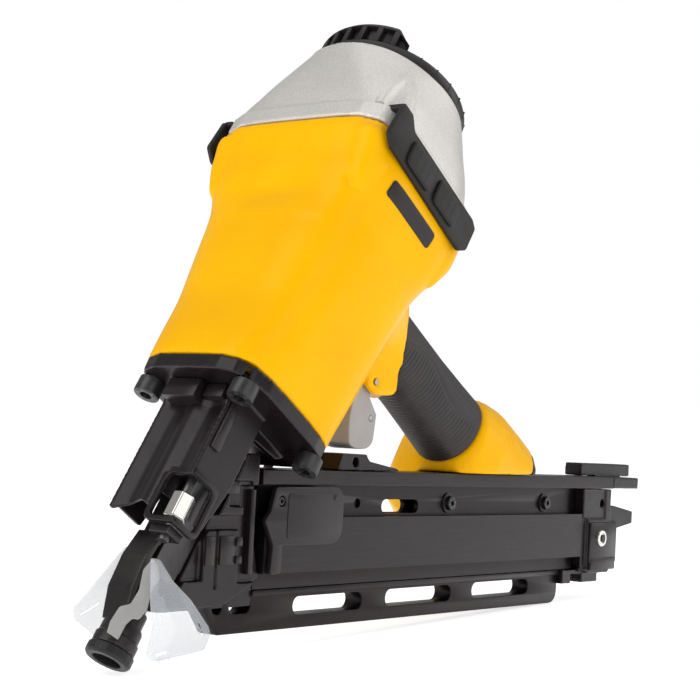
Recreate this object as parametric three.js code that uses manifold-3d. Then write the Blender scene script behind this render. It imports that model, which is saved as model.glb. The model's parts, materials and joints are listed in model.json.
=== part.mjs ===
// Pneumatic framing nailer: millimetres, +Z up, standing on its nose tip and the rear of its magazine.
// X runs along the magazine to its rear, and the origin is the centre of the bounding box's base.
import * as THREE from 'three';
import * as BufferGeometryUtils from 'three/addons/utils/BufferGeometryUtils.js';
import Module from 'manifold-3d';

const wasm = await Module();
wasm.setup();

// ---- driving dimensions ----
const LEAN = THREE.MathUtils.degToRad(33); // drive axis from the magazine's normal
const TILT = THREE.MathUtils.degToRad(2.04); // magazine's fall to the rear as the tool stands
const GAP = 0.3; // clearance between pieces that touch
const CENTRE_X = -247.79; // brings the bounding box's centre over the origin
const LIFT = 5.78; // brings the lowest point to the ground

const NOSE_PLATE_S = 131.2; // stations along the drive axis, from the nose tip
const BASE_S = 138.6;
const JOINT_S = 277;
const CAP_TOP_S = 333.6;
const HOOD_TURN = -0.52; // the exhaust hood is turned to one side at rest

const BORE_R = 26; // cylinder
const SLEEVE_R = 29;
const CHAMBER_R = 33;
const HANDLE_S = 233.5; // handle axis
const GRIP_R = 22;
const GRIP_START = 60; // at the top; the sleeve is cut on a slant to clear the trigger
const GRIP_SLANT = [[40, 290], [60, 258], [68, 238], [80, 222], [91, 212], [91, 190], [40, 190]];
const GRIP_END = 158;
const HANDLE_BORE_R = 11.5;
const END_T = 221; // end face of the handle
const VALVE_T = 80; // trigger valve axis
const TRIGGER_PIVOT = { t: 70, s: 203 };
const LEVER_PIVOT = { t: 83.5, s: 189.5 };
const NUT = { t: -14.2, y: -13, s: 71.5, r: 5.8, height: 13 };
const GUIDE_W = 8; // half width of the nose guide
const SPRING = { t: -14.2, y: 7.2, r: 3.4, wire: 1.1 };

const RAIL_TOP = 85.7; // levels above the magazine's datum
const RAIL_LOW = 78.4;
const BODY_TOP = 62.3;
const BODY_LOW = 35.7;
const FOOT_TOP = 27.7;
const FOOT_LOW = 7.4;
const RAIL_W = 14; // half widths of the magazine's levels
const BODY_W = 12.1;
const WEB_W = 6;
const FOOT_W = 5.6;
const CHANNEL_W = 3.3;
const RAIL_END = 432;

const NOSE_BOLTS = [[-26.7, 29.3], [-26.7, -29.3], [32.3, 29.3], [32.3, -29.3]];
const CAP_BOLTS = [[-34, 43.5], [-34, -43.5], [37, 43.5], [37, -43.5]];

// ---- materials ----
const paint = (color, roughness, metalness) => ({ color, roughness, metalness });
const YELLOW = paint('#f7ab0a', 0.42, 0.1);
const SILVER = paint('#b4b3ae', 0.5, 0.7);
const BLACK_METAL = paint('#17171a', 0.42, 0.5);
const BLACK_RUBBER = paint('#232124', 0.8, 0);
const BLACK_PLASTIC = paint('#1b1b1d', 0.55, 0);
const STEEL = paint('#9c9b98', 0.35, 0.9);
const DARK_STEEL = paint('#3a3a3c', 0.4, 0.8);
const GREY_PLASTIC = paint('#b9b9bb', 0.5, 0);
const CLEAR = paint('#dfe6ea', 0.12, 0);
const BRASS = paint('#b08d45', 0.35, 0.9);

// ---- making and cutting solids ----
function toSolid(geometry) {
  const bare = geometry.clone();
  bare.deleteAttribute('normal');
  bare.deleteAttribute('uv');
  const merged = BufferGeometryUtils.mergeVertices(bare, 1e-4);
  const index = Array.from(merged.index.array);
  const triangles = [];
  for (let i = 0; i < index.length; i += 3) {
    const [a, b, c] = index.slice(i, i + 3);
    if (a !== b && b !== c && c !== a) triangles.push(a, b, c);
  }
  const position = merged.attributes.position;
  const corner = (i) => new THREE.Vector3().fromBufferAttribute(position, i);
  let volume = 0;
  for (let i = 0; i < triangles.length; i += 3) {
    const [a, b, c] = [0, 1, 2].map((k) => corner(triangles[i + k]));
    volume += a.dot(b.cross(c));
  }
  if (volume < 0) triangles.reverse();
  const vertProperties = new Float32Array(position.array);
  return new wasm.Manifold(new wasm.Mesh({ numProp: 3, vertProperties, triVerts: new Uint32Array(triangles) }));
}

function toGeometry(solid) {
  const mesh = solid.getMesh();
  const geometry = new THREE.BufferGeometry();
  geometry.setAttribute('position', new THREE.BufferAttribute(mesh.vertProperties, 3));
  geometry.setIndex(new THREE.BufferAttribute(mesh.triVerts, 1));
  return geometry;
}

const join = (first, ...others) => toGeometry(others.reduce((s, g) => s.add(toSolid(g)), toSolid(first)));
const cut = (first, ...tools) => toGeometry(tools.reduce((s, g) => s.subtract(toSolid(g)), toSolid(first)));

// ---- basic shapes ----
const outline = (points) => new THREE.Shape(points.map(([x, y]) => new THREE.Vector2(x, y)));

function box(x0, x1, y0, y1, z0, z1) {
  const geometry = new THREE.BoxGeometry(x1 - x0, y1 - y0, z1 - z0);
  return geometry.translate((x0 + x1) / 2, (y0 + y1) / 2, (z0 + z1) / 2);
}

function prism(shape, z0, z1) {
  return new THREE.ExtrudeGeometry(shape, { depth: z1 - z0, bevelEnabled: false, curveSegments: 5 }).translate(0, 0, z0);
}

// an outline in the XZ plane, from y0 to y1
function plate(points, y0, y1) {
  const shape = Array.isArray(points) ? outline(points) : points;
  return prism(shape, -y1, -y0).rotateX(Math.PI / 2);
}

// an outline in the YZ plane, from x0 to x1
const bar = (points, x0, x1) => prism(outline(points), x0, x1).rotateX(Math.PI / 2).rotateZ(Math.PI / 2);

function rodZ(r, x, y, z0, z1, sides = 16) {
  return new THREE.CylinderGeometry(r, r, z1 - z0, sides).rotateX(Math.PI / 2).translate(x, y, (z0 + z1) / 2);
}
function rodX(r, y, z, x0, x1, sides = 16) {
  return new THREE.CylinderGeometry(r, r, x1 - x0, sides).rotateZ(Math.PI / 2).translate((x0 + x1) / 2, y, z);
}
function rodY(r, x, z, y0, y1, sides = 16) {
  return new THREE.CylinderGeometry(r, r, y1 - y0, sides).translate(x, (y0 + y1) / 2, z);
}

// a profile of [radius, z] turned about the Z axis
function turned(profile, sides = 32, closed = true) {
  const points = profile.map(([r, z]) => new THREE.Vector2(r, z));
  if (closed) points.push(points[0].clone());
  return new THREE.LatheGeometry(points, sides).rotateX(Math.PI / 2);
}

const tube = (rIn, rOut, z0, z1, sides = 32) => turned([[rIn, z0], [rOut, z0], [rOut, z1], [rIn, z1]], sides);

function slotY(x, z, length, height, y0, y1) {
  const half = length / 2 - height / 2;
  const shape = new THREE.Shape();
  shape.absarc(x + half, z, height / 2, -Math.PI / 2, Math.PI / 2);
  shape.absarc(x - half, z, height / 2, Math.PI / 2, 1.5 * Math.PI);
  return plate(shape, y0, y1);
}

// a superellipse section carried along Z; each station is [z, cx, cy, half x, half y, power]
function lofted(stations, sides = 36) {
  const circle = new THREE.Shape();
  for (let i = 0; i < sides; i += 1) {
    const a = (2 * Math.PI * (i + 0.5)) / sides;
    if (i === 0) circle.moveTo(Math.cos(a), Math.sin(a));
    else circle.lineTo(Math.cos(a), Math.sin(a));
  }
  const steps = stations.length - 1;
  const geometry = new THREE.ExtrudeGeometry(circle, { depth: steps, steps, bevelEnabled: false });
  const p = geometry.attributes.position;
  for (let i = 0; i < p.count; i += 1) {
    const [z, cx, cy, ax, ay, n] = stations[Math.round(p.getZ(i))];
    const c = p.getX(i);
    const s = p.getY(i);
    const reach = (Math.abs(c) ** n + Math.abs(s) ** n) ** (-1 / n);
    p.setXYZ(i, cx + ax * c * reach, cy + ay * s * reach, z);
  }
  return geometry;
}

// the same, carried along X; each station is [x, cy, cz, half y, half z, power]
const loftedX = (stations, sides = 28) =>
  lofted(stations.map(([x, cy, cz, ay, az, n]) => [x, cy, cz, ay, az, n]), sides).rotateX(Math.PI / 2).rotateZ(Math.PI / 2);

class Helix extends THREE.Curve {
  constructor(radius, z0, z1, turns) {
    super();
    Object.assign(this, { radius, z0, z1, turns });
  }
  getPoint(u, target = new THREE.Vector3()) {
    const a = 2 * Math.PI * this.turns * u;
    return target.set(this.radius * Math.cos(a), this.radius * Math.sin(a), this.z0 + (this.z1 - this.z0) * u);
  }
}

function coil(radius, wire, z0, z1, turns) {
  const corners = [0, 1, 2, 3, 4].map((k) => (2 * Math.PI * k) / 5);
  const section = outline(corners.map((a) => [(wire / 2) * Math.cos(a), (wire / 2) * Math.sin(a)]));
  const extrudePath = new Helix(radius, z0 + wire / 2, z1 - wire / 2, turns);
  const steps = Math.round(turns * 10);
  return new THREE.ExtrudeGeometry(section, { extrudePath, steps, bevelEnabled: false });
}

// a magazine-plane point, from a place along (s) and across (t) the drive axis, and back again
const magazineBox = (...sides) => box(...sides).rotateY(-LEAN);

const tool = new THREE.Group();
const drive = new THREE.Group(); // Z along the drive axis, X towards the handle
const magazine = new THREE.Group(); // X along the magazine to its rear
tool.add(drive, magazine);
tool.position.set(CENTRE_X, 0, LIFT);
drive.rotation.y = LEAN + TILT;
magazine.rotation.y = TILT;

function piece(group, name, geometry, look) {
  const mesh = new THREE.Mesh(geometry, new THREE.MeshStandardMaterial(look));
  mesh.name = name;
  group.add(mesh);
  return mesh;
}

// ---- main body ----
function housing() {
  const barrel = lofted([
    [BASE_S + GAP, 3.2, 0, 39.8, 36.8, 4.5], [150, 3.2, 0, 40.4, 38.6, 4.2], [180, 2.9, 0, 42, 43.2, 3.8],
    [208, 2.4, 0, 43.6, 47.6, 3.6], [240, 2, 0, 45, 50.4, 3.8], [256, 1.9, 0, 46, 52.6, 4.6],
    [263, 1.75, 0, 47.4, 55.4, 5.4], [JOINT_S - 0.8, 1.75, 0, 47.6, 55.9, 5.4],
  ]);
  const boss = [[0, 240], [6, 242], [11, 256], [11, JOINT_S - 5], [0, JOINT_S - 5]];
  const bosses = CAP_BOLTS.map(([t, y]) => turned(boss, 16, false).translate(t, y, 0));
  const neck = loftedX([
    [24, 0, 233, 33, 36, 2.2], [46, 0, 233.5, 30, 34, 2.2], [54, 0, 234, 26, 30, 2.2], [64, 0, 234, 22, 23.6, 2.2],
    [74, 0, HANDLE_S, 20, 21.4, 2.2], [95, 0, HANDLE_S, 19, 20, 2.2],
  ]);
  const beyond = GRIP_SLANT.slice(0, 6).map(([t, s]) => [t - GAP, s]);
  const sleeveSide = plate([...beyond, [120, 190], [120, 290]], -40, 40);
  const core = loftedX([[30, 0, HANDLE_S, 15.8, 16.8, 2.2], [GRIP_END, 0, HANDLE_S, 17, 18, 2.2]]);
  const ear = [[56, 216], [85.5, 216], [88, 210], [87, 206.5], [80, 201.5], [74, 198], [66, 198], [60, 203]];
  const bolts = NOSE_BOLTS.map(([t, y]) => rodZ(3.9, t, y, 130, 158, 12));
  const screws = CAP_BOLTS.map(([t, y]) => rodZ(3.3, t, y, 252, 280, 12));
  return cut(
    join(cut(neck, sleeveSide), barrel, core, ...bosses, plate(ear, 9.2, 14), plate(ear, -14, -9.2)),
    rodZ(CHAMBER_R, 0, 0, 144, 280, 32),
    rodZ(SLEEVE_R + 0.5, 0, 0, 130, 150, 32),
    rodX(HANDLE_BORE_R, 0, HANDLE_S, 20, 180, 20),
    rodZ(9.4, VALVE_T, 0, 190, 232, 16),
    rodY(1.9, TRIGGER_PIVOT.t, TRIGGER_PIVOT.s, -20, 20, 12),
    ...bolts, ...screws,
  );
}

function cylinderCap() {
  const dome = lofted([
    [JOINT_S + 0.8, 1.75, 0, 47.6, 55.9, 5.4], [287.2, 1.75, 0, 47.6, 55.9, 5.4], [288, 1.7, 0, 46, 53.4, 4.6],
    [292, 1.4, 0, 45.9, 52.4, 3.8], [300, 1, 0, 45.6, 50.2, 3], [312, 0.5, 0, 45.2, 47.2, 2.4],
    [326, 0.1, 0, 44.4, 44.8, 2.04], [CAP_TOP_S - GAP, 0, 0, 43.9, 43.9, 2],
  ]);
  const ports = [0, 1, 2, 3, 4, 5].map((k) => {
    const a = (k * Math.PI) / 3;
    return rodZ(5, 16 * Math.cos(a), 16 * Math.sin(a), 320, 340, 12);
  });
  const pockets = CAP_BOLTS.flatMap(([t, y]) => [rodZ(6.4, t, y, 284, 320, 16), rodZ(3.3, t, y, 270, 290, 12)]);
  return cut(dome, rodZ(34.5, 0, 0, 270, 325, 32), rodZ(3.3, 0, 0, 320, 340, 12), ...ports, ...pockets);
}

function exhaustCap() {
  const band = turned([
    [3.4, 338], [34, 338], [36.6, CAP_TOP_S + GAP], [44, CAP_TOP_S + GAP], [44, 338], [41.6, 342], [34, 344.6],
    [9, 345.4], [8, 341.4], [3.4, 341.4],
  ], 36);
  const hood = cut(
    turned([[12, 343], [43.2, 336], [42.8, 350], [39, 354.6], [12, 357]], 36),
    turned([[14, 334], [39.4, 334], [38.2, 349.6], [14, 353]], 36),
    box(-14, 60, -60, 60, 330, 360), // the hood covers the front of the band only
  );
  const louvres = [];
  for (let k = -3; k <= 3; k += 1) {
    const a = Math.PI + 0.29 * k;
    louvres.push(box(35, 52, -3.4, 3.4, 343.4, 349.4).rotateZ(a));
  }
  return cut(join(band, hood), ...louvres).rotateZ(HOOD_TURN);
}

const capBolt = (t, y) => join(rodZ(5, t, y, 284.3, 290.3, 12), rodZ(3, t, y, 254, 284.5, 12));
const noseBolt = (t, y) => cut(
  join(rodZ(6.5, t, y, NOSE_PLATE_S - 8.3, NOSE_PLATE_S - GAP, 16), rodZ(3.6, t, y, NOSE_PLATE_S - 1, 156, 12)),
  rodZ(3.5, t, y, 118, NOSE_PLATE_S - 4.3, 6),
);

function sideBumper(side) {
  const strip = plate([
    [-38, 265], [36, 262], [41, 266], [41, 280], [36, 283.4], [-30, 285.6], [-36, 289.4], [-41, 287], [-42, 270],
  ], 56.2, 58.8);
  const pads = [[-26, -5], [1, 22]].map(([a, b]) => plate([[a, 265], [b, 265], [b, 279.4], [a, 279.4]], 58, 60.8));
  const whole = join(strip, ...pads);
  return side > 0 ? whole : toGeometry(toSolid(whole).mirror([0, 1, 0]));
}

function gasket() {
  const sheet = lofted([[JOINT_S - 0.5, 1.75, 0, 47.3, 55.6, 5.4], [JOINT_S + 0.5, 1.75, 0, 47.3, 55.6, 5.4]]);
  const [low, high] = [JOINT_S - 2, JOINT_S + 2];
  return cut(sheet, rodZ(34.5, 0, 0, low, high, 32), ...CAP_BOLTS.map(([t, y]) => rodZ(3.3, t, y, low, high, 12)));
}

// ---- inside the body ----
const sleeve = () => turned([
  [BORE_R, BASE_S + GAP], [SLEEVE_R, BASE_S + GAP], [SLEEVE_R, 278], [32.6, 278], [32.6, 289.5], [BORE_R, 289.5],
]);
const piston = () => turned([
  [4.4, 266], [9, 266], [9, 272], [25.3, 272], [25.3, 276.4], [22.8, 276.4], [22.8, 280.6], [25.3, 280.6],
  [25.3, 284], [4.4, 284],
]);
const driverBlade = () => join(box(-2, 2, -3.2, 3.2, 106, 263), rodZ(3.9, 0, 0, 262, 286, 12));
const bumper = () => turned([[10, 139.3], [25.3, 139.3], [25.3, 158], [21, 164], [10, 164]]);
const headValve = () => turned([
  [24, 291.6], [33.6, 291.6], [33.6, 303], [20, 303], [20, 316], [15, 316], [15, 303], [24, 299],
]);

// ---- trigger group ----
const valveBody = () => turned([[2.9, 206], [8.9, 206], [8.9, 229], [5.6, 229], [5.6, 213], [2.9, 213]], 16);
const valveStem = () => turned([[0, 200.2], [2.3, 200.2], [2.3, 213.4], [5, 213.4], [5, 215.4], [2.3, 215.4], [2.3, 221],
  [0, 221]], 12, false);

function trigger() {
  const side = new THREE.Shape();
  side.moveTo(65, 205.4);
  side.lineTo(64.6, 201);
  side.quadraticCurveTo(63, 182, 76, 168.5);
  side.quadraticCurveTo(81, 167.5, 88, 173);
  side.quadraticCurveTo(93.5, 177, 92, 182);
  side.lineTo(86.5, 193.6);
  side.lineTo(76, 197.5);
  side.lineTo(76, 202);
  side.lineTo(71, 205.4);
  const channel = [[60, 210], [100, 210], [100, 184], [84, 182], [73.6, 193], [60, 194.8]];
  return cut(
    plate(side, -8.6, 8.6),
    plate(channel, -4.6, 4.6),
    rodY(1.9, TRIGGER_PIVOT.t, TRIGGER_PIVOT.s, -20, 20, 12),
    rodY(1.7, LEVER_PIVOT.t, LEVER_PIVOT.s, -20, 20, 12),
  );
}

function contactLever() {
  const blade = [[57, 199.5], [57, 197], [76, 193.5], [80.5, 187], [86, 187], [86.5, 192.5], [84, 197],
    [76, 196.6], [62, 197.4]];
  return cut(plate(blade, -4.2, 4.2), rodY(1.7, LEVER_PIVOT.t, LEVER_PIVOT.s, -6, 6, 12));
}

// ---- nose ----
function noseCasting() {
  const flange = lofted([
    [NOSE_PLATE_S, 3.2, 0, 39.8, 36.8, 4.5], [BASE_S - 0.1, 3.2, 0, 40.2, 37.2, 4.5],
  ], 32);
  const shroud = plate([[-22, 66], [-22, 134], [2, 134], [2, 92], [-3, 66]], -21, 19);
  const web = plate([[0, 134], [38, 134], [30, 127], [12, 125.6], [8.6, 120], [0, 114]], -11.5, -7.5);
  const hollow = plate([[-20.4, 60], [-20.4, 127], [3, 127], [3, 60]], -19.2, 16.6);
  const trunk = box(-9.8, 8.6, -12, 12, 113, 134);
  return cut(
    join(toGeometry(toSolid(shroud).subtract(toSolid(hollow))), flange, trunk, web),
    box(-GUIDE_W - GAP, GUIDE_W + 4, -GUIDE_W - GAP, GUIDE_W + GAP, 100, 128), // seat of the guide
    box(-2.6, 2.6, -3.8, 3.8, 100, 145), // blade
    box(-30, -8.6, -30, -4.5, 60, 84), // window for the adjuster
    ...NOSE_BOLTS.map(([t, y]) => rodZ(3.9, t, y, 125, 145, 12)),
  );
}

function noseGuide() {
  const channel = prism(outline([
    [-GUIDE_W, -GUIDE_W], [GUIDE_W + 1, -GUIDE_W], [GUIDE_W + 1, -CHANNEL_W - 0.4], [-2.6, -CHANNEL_W - 0.4],
    [-2.6, CHANNEL_W + 0.4], [GUIDE_W + 1, CHANNEL_W + 0.4], [GUIDE_W + 1, GUIDE_W], [-GUIDE_W, GUIDE_W],
  ]), 50, 127.6);
  const tip = tube(4.4, 6.3, 12.6, 51, 16);
  const collar = cut(box(-GUIDE_W, GUIDE_W, -GUIDE_W, GUIDE_W, 43, 51), rodZ(4.4, 0, 0, 40, 55, 16));
  return cut(join(channel, tip, collar), box(0, 20, -CHANNEL_W - 0.4, CHANNEL_W + 0.4, 10, 60)); // nails come in here
}

function tripFoot() {
  const ring = tube(6.8, 8, 5.4, 25, 16);
  const lip = tube(6.8, 10.2, 5.4, 8, 16);
  const sweep = plate([[-7, 16], [-8.4, 19], [-13, 30], [-14, 46], [-11.6, 60], [-9, 60], [-10.4, 46], [-9.4, 30],
    [-8.4, 25]], -7.5, 7.5);
  const arm = box(-11.6, -8.8, -7.5, 7.5, 54, 60);
  const eye = cut(box(-19, -8.8, -18, -6.5, 56, 60), rodZ(2.9, NUT.t, NUT.y, 50, 70, 12));
  const entry = box(0, 20, -CHANNEL_W - 0.4, CHANNEL_W + 0.4, 9, 60);
  return cut(join(ring, lip, sweep, arm, eye), rodZ(6.8, 0, 0, 10, 30, 16), entry);
}

const noMarTip = () => turned([[6.8, 0], [10, 0], [11, 1.2], [11, 5.1], [6.8, 5.1]], 20);

function tripArm() {
  const yoke = cut(
    box(-18.6, -8.8, -17.5, 15.6, 88, 92),
    rodZ(2.9, NUT.t, NUT.y, 80, 100, 12),
  );
  const cross = box(-12, 6, 12.2, 15.6, 88, 100);
  const outer = plate([[2.4, 90], [52, 108], [57, 118], [57, 172], [61, 182], [61, 189.2], [58, 189.2],
    [53.6, 176], [53.6, 120], [47, 116.5], [2.4, 99]], 14.7, 17.8);
  const pad = box(53, 61, -4, 17, 186.2, 189.2);
  return join(yoke, cross, outer, pad);
}

function depthNut() {
  const { t, y, r, s, height } = NUT;
  const [low, high] = [s - height / 2, s + height / 2];
  const profile = [[3.1, low], [r - 0.6, low], [r, low + 1], [r, high - 1], [r - 0.6, high], [3.1, high]];
  return turned(profile, 6).translate(t, y, 0);
}

const depthRod = () => rodZ(2.5, NUT.t, NUT.y, 54, 98, 12);

function shieldWing(side) {
  const sheet = [[-12, 44], [-2, 50], [14, 44], [34, 34], [36, 24], [24, 8], [8, 1], [-6, 3], [-12, 16]];
  const wing = plate(sheet, -0.6, 0.6).translate(0, 0, -44).rotateX(side * 0.42).translate(0, side * 13.4, 44);
  return wing;
}

// ---- handle ----
function rubberGrip() {
  const outer = loftedX([
    [GRIP_START - 10, 0, HANDLE_S, 19, 20, 2.2], [88, 0, HANDLE_S, 19, 20, 2.2], [112, 0, HANDLE_S, 19, 20.2, 2.2],
    [138, 0, HANDLE_S, 20, 21, 2.2], [GRIP_END - 2, 0, HANDLE_S, 20.6, GRIP_R, 2.2],
    [GRIP_END, 0, HANDLE_S, 20.2, GRIP_R - 0.4, 2.2],
  ]);
  const inner = loftedX([[30, 0, HANDLE_S, 16.2, 17.2, 2.2], [180, 0, HANDLE_S, 17.5, 18.5, 2.2]]);
  return cut(outer, inner, plate(GRIP_SLANT, -40, 40), rodZ(9.4, VALVE_T, 0, 190, 225, 16));
}

function handleEnd() {
  const bell = loftedX([
    [GRIP_END + GAP, 0, HANDLE_S, 21, 21.6, 2.2], [162, 2, 232.5, 25, 26, 2.3], [169, 8, 230, 31, 33, 2.5],
    [182, 13, 229, 37, 38, 2.8], [204, 15.5, 229, 38, 40, 3], [END_T, 15.5, 229.5, 37.5, 40, 3],
  ]);
  const hollow = loftedX([[160, 0, HANDLE_S, 10, 10, 2], [200, 12, HANDLE_S, 12, 12, 2], [250, 28, 243, 12, 12, 2]], 16);
  return cut(bell, hollow, magazineBox(0, 600, -60, 15.2, -60, RAIL_TOP + 0.5));
}

function inletCap() {
  const face = END_T + GAP;
  const disc = loftedX([[face, 15.5, 229.5, 37.1, 39.6, 3], [face + 3.5, 15.5, 229.5, 36.9, 39.4, 3],
    [face + 5, 15.5, 229.5, 35.4, 38, 3]]);
  const boss = rodX(12.5, 28, 240, face + 3, face + 15, 20);
  return cut(join(disc, boss), rodX(6.6, 28, 240, 200, 260, 16), magazineBox(0, 600, -60, 15.2, -60, RAIL_TOP + 0.5));
}

// ---- magazine ----
const frontAt = (t, z) => (z * Math.tan(LEAN)) + t / Math.cos(LEAN); // x of the line at t across the drive axis

const edge = (t, z) => [frontAt(t, z), z];

function magazineHead() {
  const block = plate([edge(9.4, 22), edge(9.4, 84), [82, 84], [82, 58], [88, 34], [60, 22]], -BODY_W, BODY_W);
  const ear = plate([edge(9.4, 60), edge(9.4, 93), [80, 93], [80, 60]], -RAIL_W, RAIL_W);
  const channel = box(0, 120, -CHANNEL_W, CHANNEL_W, 26, 130);
  const floor = plate([edge(9.4, 20), edge(9.4, 30), [88, 30], [88, 20]], -FOOT_W, FOOT_W);
  return cut(join(block, ear, floor), channel);
}

function magazineBody() {
  const section = [
    [-FOOT_W, FOOT_TOP], [FOOT_W, FOOT_TOP], [FOOT_W, BODY_LOW], [BODY_W, BODY_LOW], [BODY_W, BODY_TOP],
    [WEB_W, BODY_TOP], [WEB_W, RAIL_LOW - GAP], [CHANNEL_W, RAIL_LOW - GAP], [CHANNEL_W, FOOT_TOP + 3],
    [-CHANNEL_W, FOOT_TOP + 3], [-CHANNEL_W, RAIL_LOW - GAP], [-WEB_W, RAIL_LOW - GAP], [-WEB_W, BODY_TOP],
    [-BODY_W, BODY_TOP], [-BODY_W, BODY_LOW], [-FOOT_W, BODY_LOW],
  ];
  return cut(
    bar(section, 88.5, 396),
    slotY(207, 67.3, 34, 7.4, -20, 20),
    box(100, 376, 3, 20, 70.4, 74.4), // pusher's slot, on the far side
    ...[168.5, 252.7, 357.5].map((x) => rodY(2.6, x, 69, -20, 0, 12)),
  );
}

function topRail() {
  const section = [
    [-RAIL_W, RAIL_LOW], [-RAIL_W, RAIL_TOP], [RAIL_W, RAIL_TOP], [RAIL_W, RAIL_LOW], [CHANNEL_W + 1, RAIL_LOW],
    [CHANNEL_W + 1, RAIL_TOP - 2.5], [-CHANNEL_W - 1, RAIL_TOP - 2.5], [-CHANNEL_W - 1, RAIL_LOW],
  ];
  return bar(section, 83, RAIL_END);
}

function bottomRail() {
  const side = new THREE.Shape();
  side.moveTo(66, 19);
  side.lineTo(64.5, FOOT_LOW);
  side.lineTo(370, FOOT_LOW);
  side.quadraticCurveTo(379, FOOT_LOW, 379, 16);
  side.lineTo(379, FOOT_TOP - GAP);
  side.lineTo(90, FOOT_TOP - GAP);
  side.lineTo(88.3, 19);
  const slots = [[84, 18, 18.2], [149, 57, 18.4], [229.6, 62.6, 18.6], [313.6, 62, 18.8]];
  return cut(
    plate(side, -FOOT_W, FOOT_W),
    ...slots.map(([x, length, z]) => slotY(x, z, length, 9, -20, 20)),
    rodY(1.6, 68.5, 14, -20, 20, 10),
  );
}

function coverPlate() {
  const side = new THREE.Shape();
  side.moveTo(93, 49.5);
  side.lineTo(93, 76.5);
  side.lineTo(132, 77.5);
  side.absarc(131.5, 63.2, 13.2, Math.PI / 2, -Math.PI / 2, true);
  side.lineTo(104, 49.5);
  return cut(plate(side, -15.2, -BODY_W - GAP), rodY(2, 99, 71, -20, 0, 12));
}

function railBracket() {
  const side = [[144, RAIL_TOP + GAP], [147.5, 94.5], [168, 94.5], [171, 91], [196, 87.5], [198, RAIL_TOP + GAP]];
  return cut(plate(side, -11, 11), rodY(2.6, 159, 90.3, -20, 20, 12));
}

function pusher() {
  const shoe = plate([edge(34, 80.6), [148, 80.6], [148, 34], edge(34, 34)], -2.8, 2.8);
  const arm = box(134, 142, 2, 8, 71, 73.8);
  const knob = plate([[128, 63.2], [128, 77.8], [148, 77.8], [148, 63.2]], 6.6, 14.6);
  return join(shoe, arm, knob);
}

function endCasting() {
  const block = plate([[397, 30], [397, 78], [434, 78], [438.4, 62], [438.4, 33], [430, 25], [404, 25]], -13.4, 13.4);
  const feet = [[380, 390], [404, 424]].map(([a, b]) => box(a, b, -9, 9, 19, 25.2));
  const shelf = box(380, 410, -9, 9, 24.8, 27.4);
  const channel = box(390, 440, -CHANNEL_W, CHANNEL_W, 30.7, 80);
  return cut(join(block, ...feet, shelf), channel, rodY(2.6, 421, 69, -20, -6, 12), rodY(3, 414, 47, -20, -6, 12));
}

function endBlock() {
  return join(box(RAIL_END + GAP, 466, -RAIL_W, 6, 78.6, RAIL_TOP), box(414, 479, 0, 12, RAIL_TOP + GAP, 94),
    box(440, 466, 0, 6, 80, 90));
}

function endLatch() {
  const lever = plate([[440, 50], [440, 66], [475, 66], [502, 62], [502, 54], [475, 50]], 8, 13);
  const hook = box(438.9, 445, -3, 12, 54, 62);
  return join(lever, hook);
}

// ---- the assembly ----
piece(drive, 'housing', housing(), YELLOW);
piece(drive, 'cap_gasket', gasket(), BLACK_RUBBER);
piece(drive, 'cylinder_cap', cylinderCap(), SILVER);
piece(drive, 'exhaust_cap', exhaustCap(), BLACK_PLASTIC);
piece(drive, 'exhaust_cap_screw', join(rodZ(6.6, 0, 0, 341.7, 345.6, 16), rodZ(2.9, 0, 0, 322, 342, 12)), DARK_STEEL);
CAP_BOLTS.forEach(([t, y], k) => piece(drive, `cap_bolt_${k + 1}`, capBolt(t, y), DARK_STEEL));
piece(drive, 'side_bumper_right', sideBumper(1), BLACK_RUBBER);
piece(drive, 'side_bumper_left', sideBumper(-1), BLACK_RUBBER);

piece(drive, 'cylinder_sleeve', sleeve(), STEEL);
piece(drive, 'piston', piston(), STEEL);
piece(drive, 'piston_seal', tube(23.1, 25.6, 276.8, 280.2), BLACK_RUBBER);
piece(drive, 'driver_blade', driverBlade(), STEEL);
piece(drive, 'piston_bumper', bumper(), BLACK_RUBBER);
piece(drive, 'head_valve', headValve(), BLACK_PLASTIC);
piece(drive, 'head_valve_seal', tube(26.5, 31.8, 290, 291.3), BLACK_RUBBER);
piece(drive, 'head_valve_spring', coil(26.5, 2, 303.4, 324.6, 4), STEEL);

piece(drive, 'trigger_valve_body', valveBody(), BRASS);
piece(drive, 'trigger_valve_cap', turned([[0, 224.6], [5.2, 224.6], [5.2, 228.6], [0, 228.6]], 16, false), BRASS);
piece(drive, 'trigger_valve_stem', valveStem(), STEEL);
piece(drive, 'trigger_valve_spring', coil(3.8, 0.8, 215.7, 224.3, 4), STEEL);
piece(drive, 'trigger', trigger(), GREY_PLASTIC);
piece(drive, 'trigger_pin', rodY(1.6, TRIGGER_PIVOT.t, TRIGGER_PIVOT.s, -14.2, 14.2, 12), STEEL);
piece(drive, 'contact_lever', contactLever(), STEEL);
piece(drive, 'contact_lever_pin', rodY(1.4, LEVER_PIVOT.t, LEVER_PIVOT.s, -8.4, 8.4, 12), STEEL);

piece(drive, 'nose_casting', noseCasting(), BLACK_METAL);
NOSE_BOLTS.forEach(([t, y], k) => piece(drive, `nose_bolt_${k + 1}`, noseBolt(t, y), DARK_STEEL));
piece(drive, 'nose_guide', noseGuide(), DARK_STEEL);
piece(drive, 'trip_foot', tripFoot(), DARK_STEEL);
piece(drive, 'no_mar_tip', noMarTip(), BLACK_RUBBER);
piece(drive, 'trip_arm', tripArm(), DARK_STEEL);
piece(drive, 'depth_nut', depthNut(), STEEL);
piece(drive, 'depth_rod', depthRod(), DARK_STEEL);
piece(drive, 'trip_spring', coil(SPRING.r, SPRING.wire, 92.3, 126.6, 7).translate(SPRING.t, SPRING.y, 0), STEEL);
piece(drive, 'debris_shield_right', shieldWing(1), CLEAR);
piece(drive, 'debris_shield_left', shieldWing(-1), CLEAR);

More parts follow.
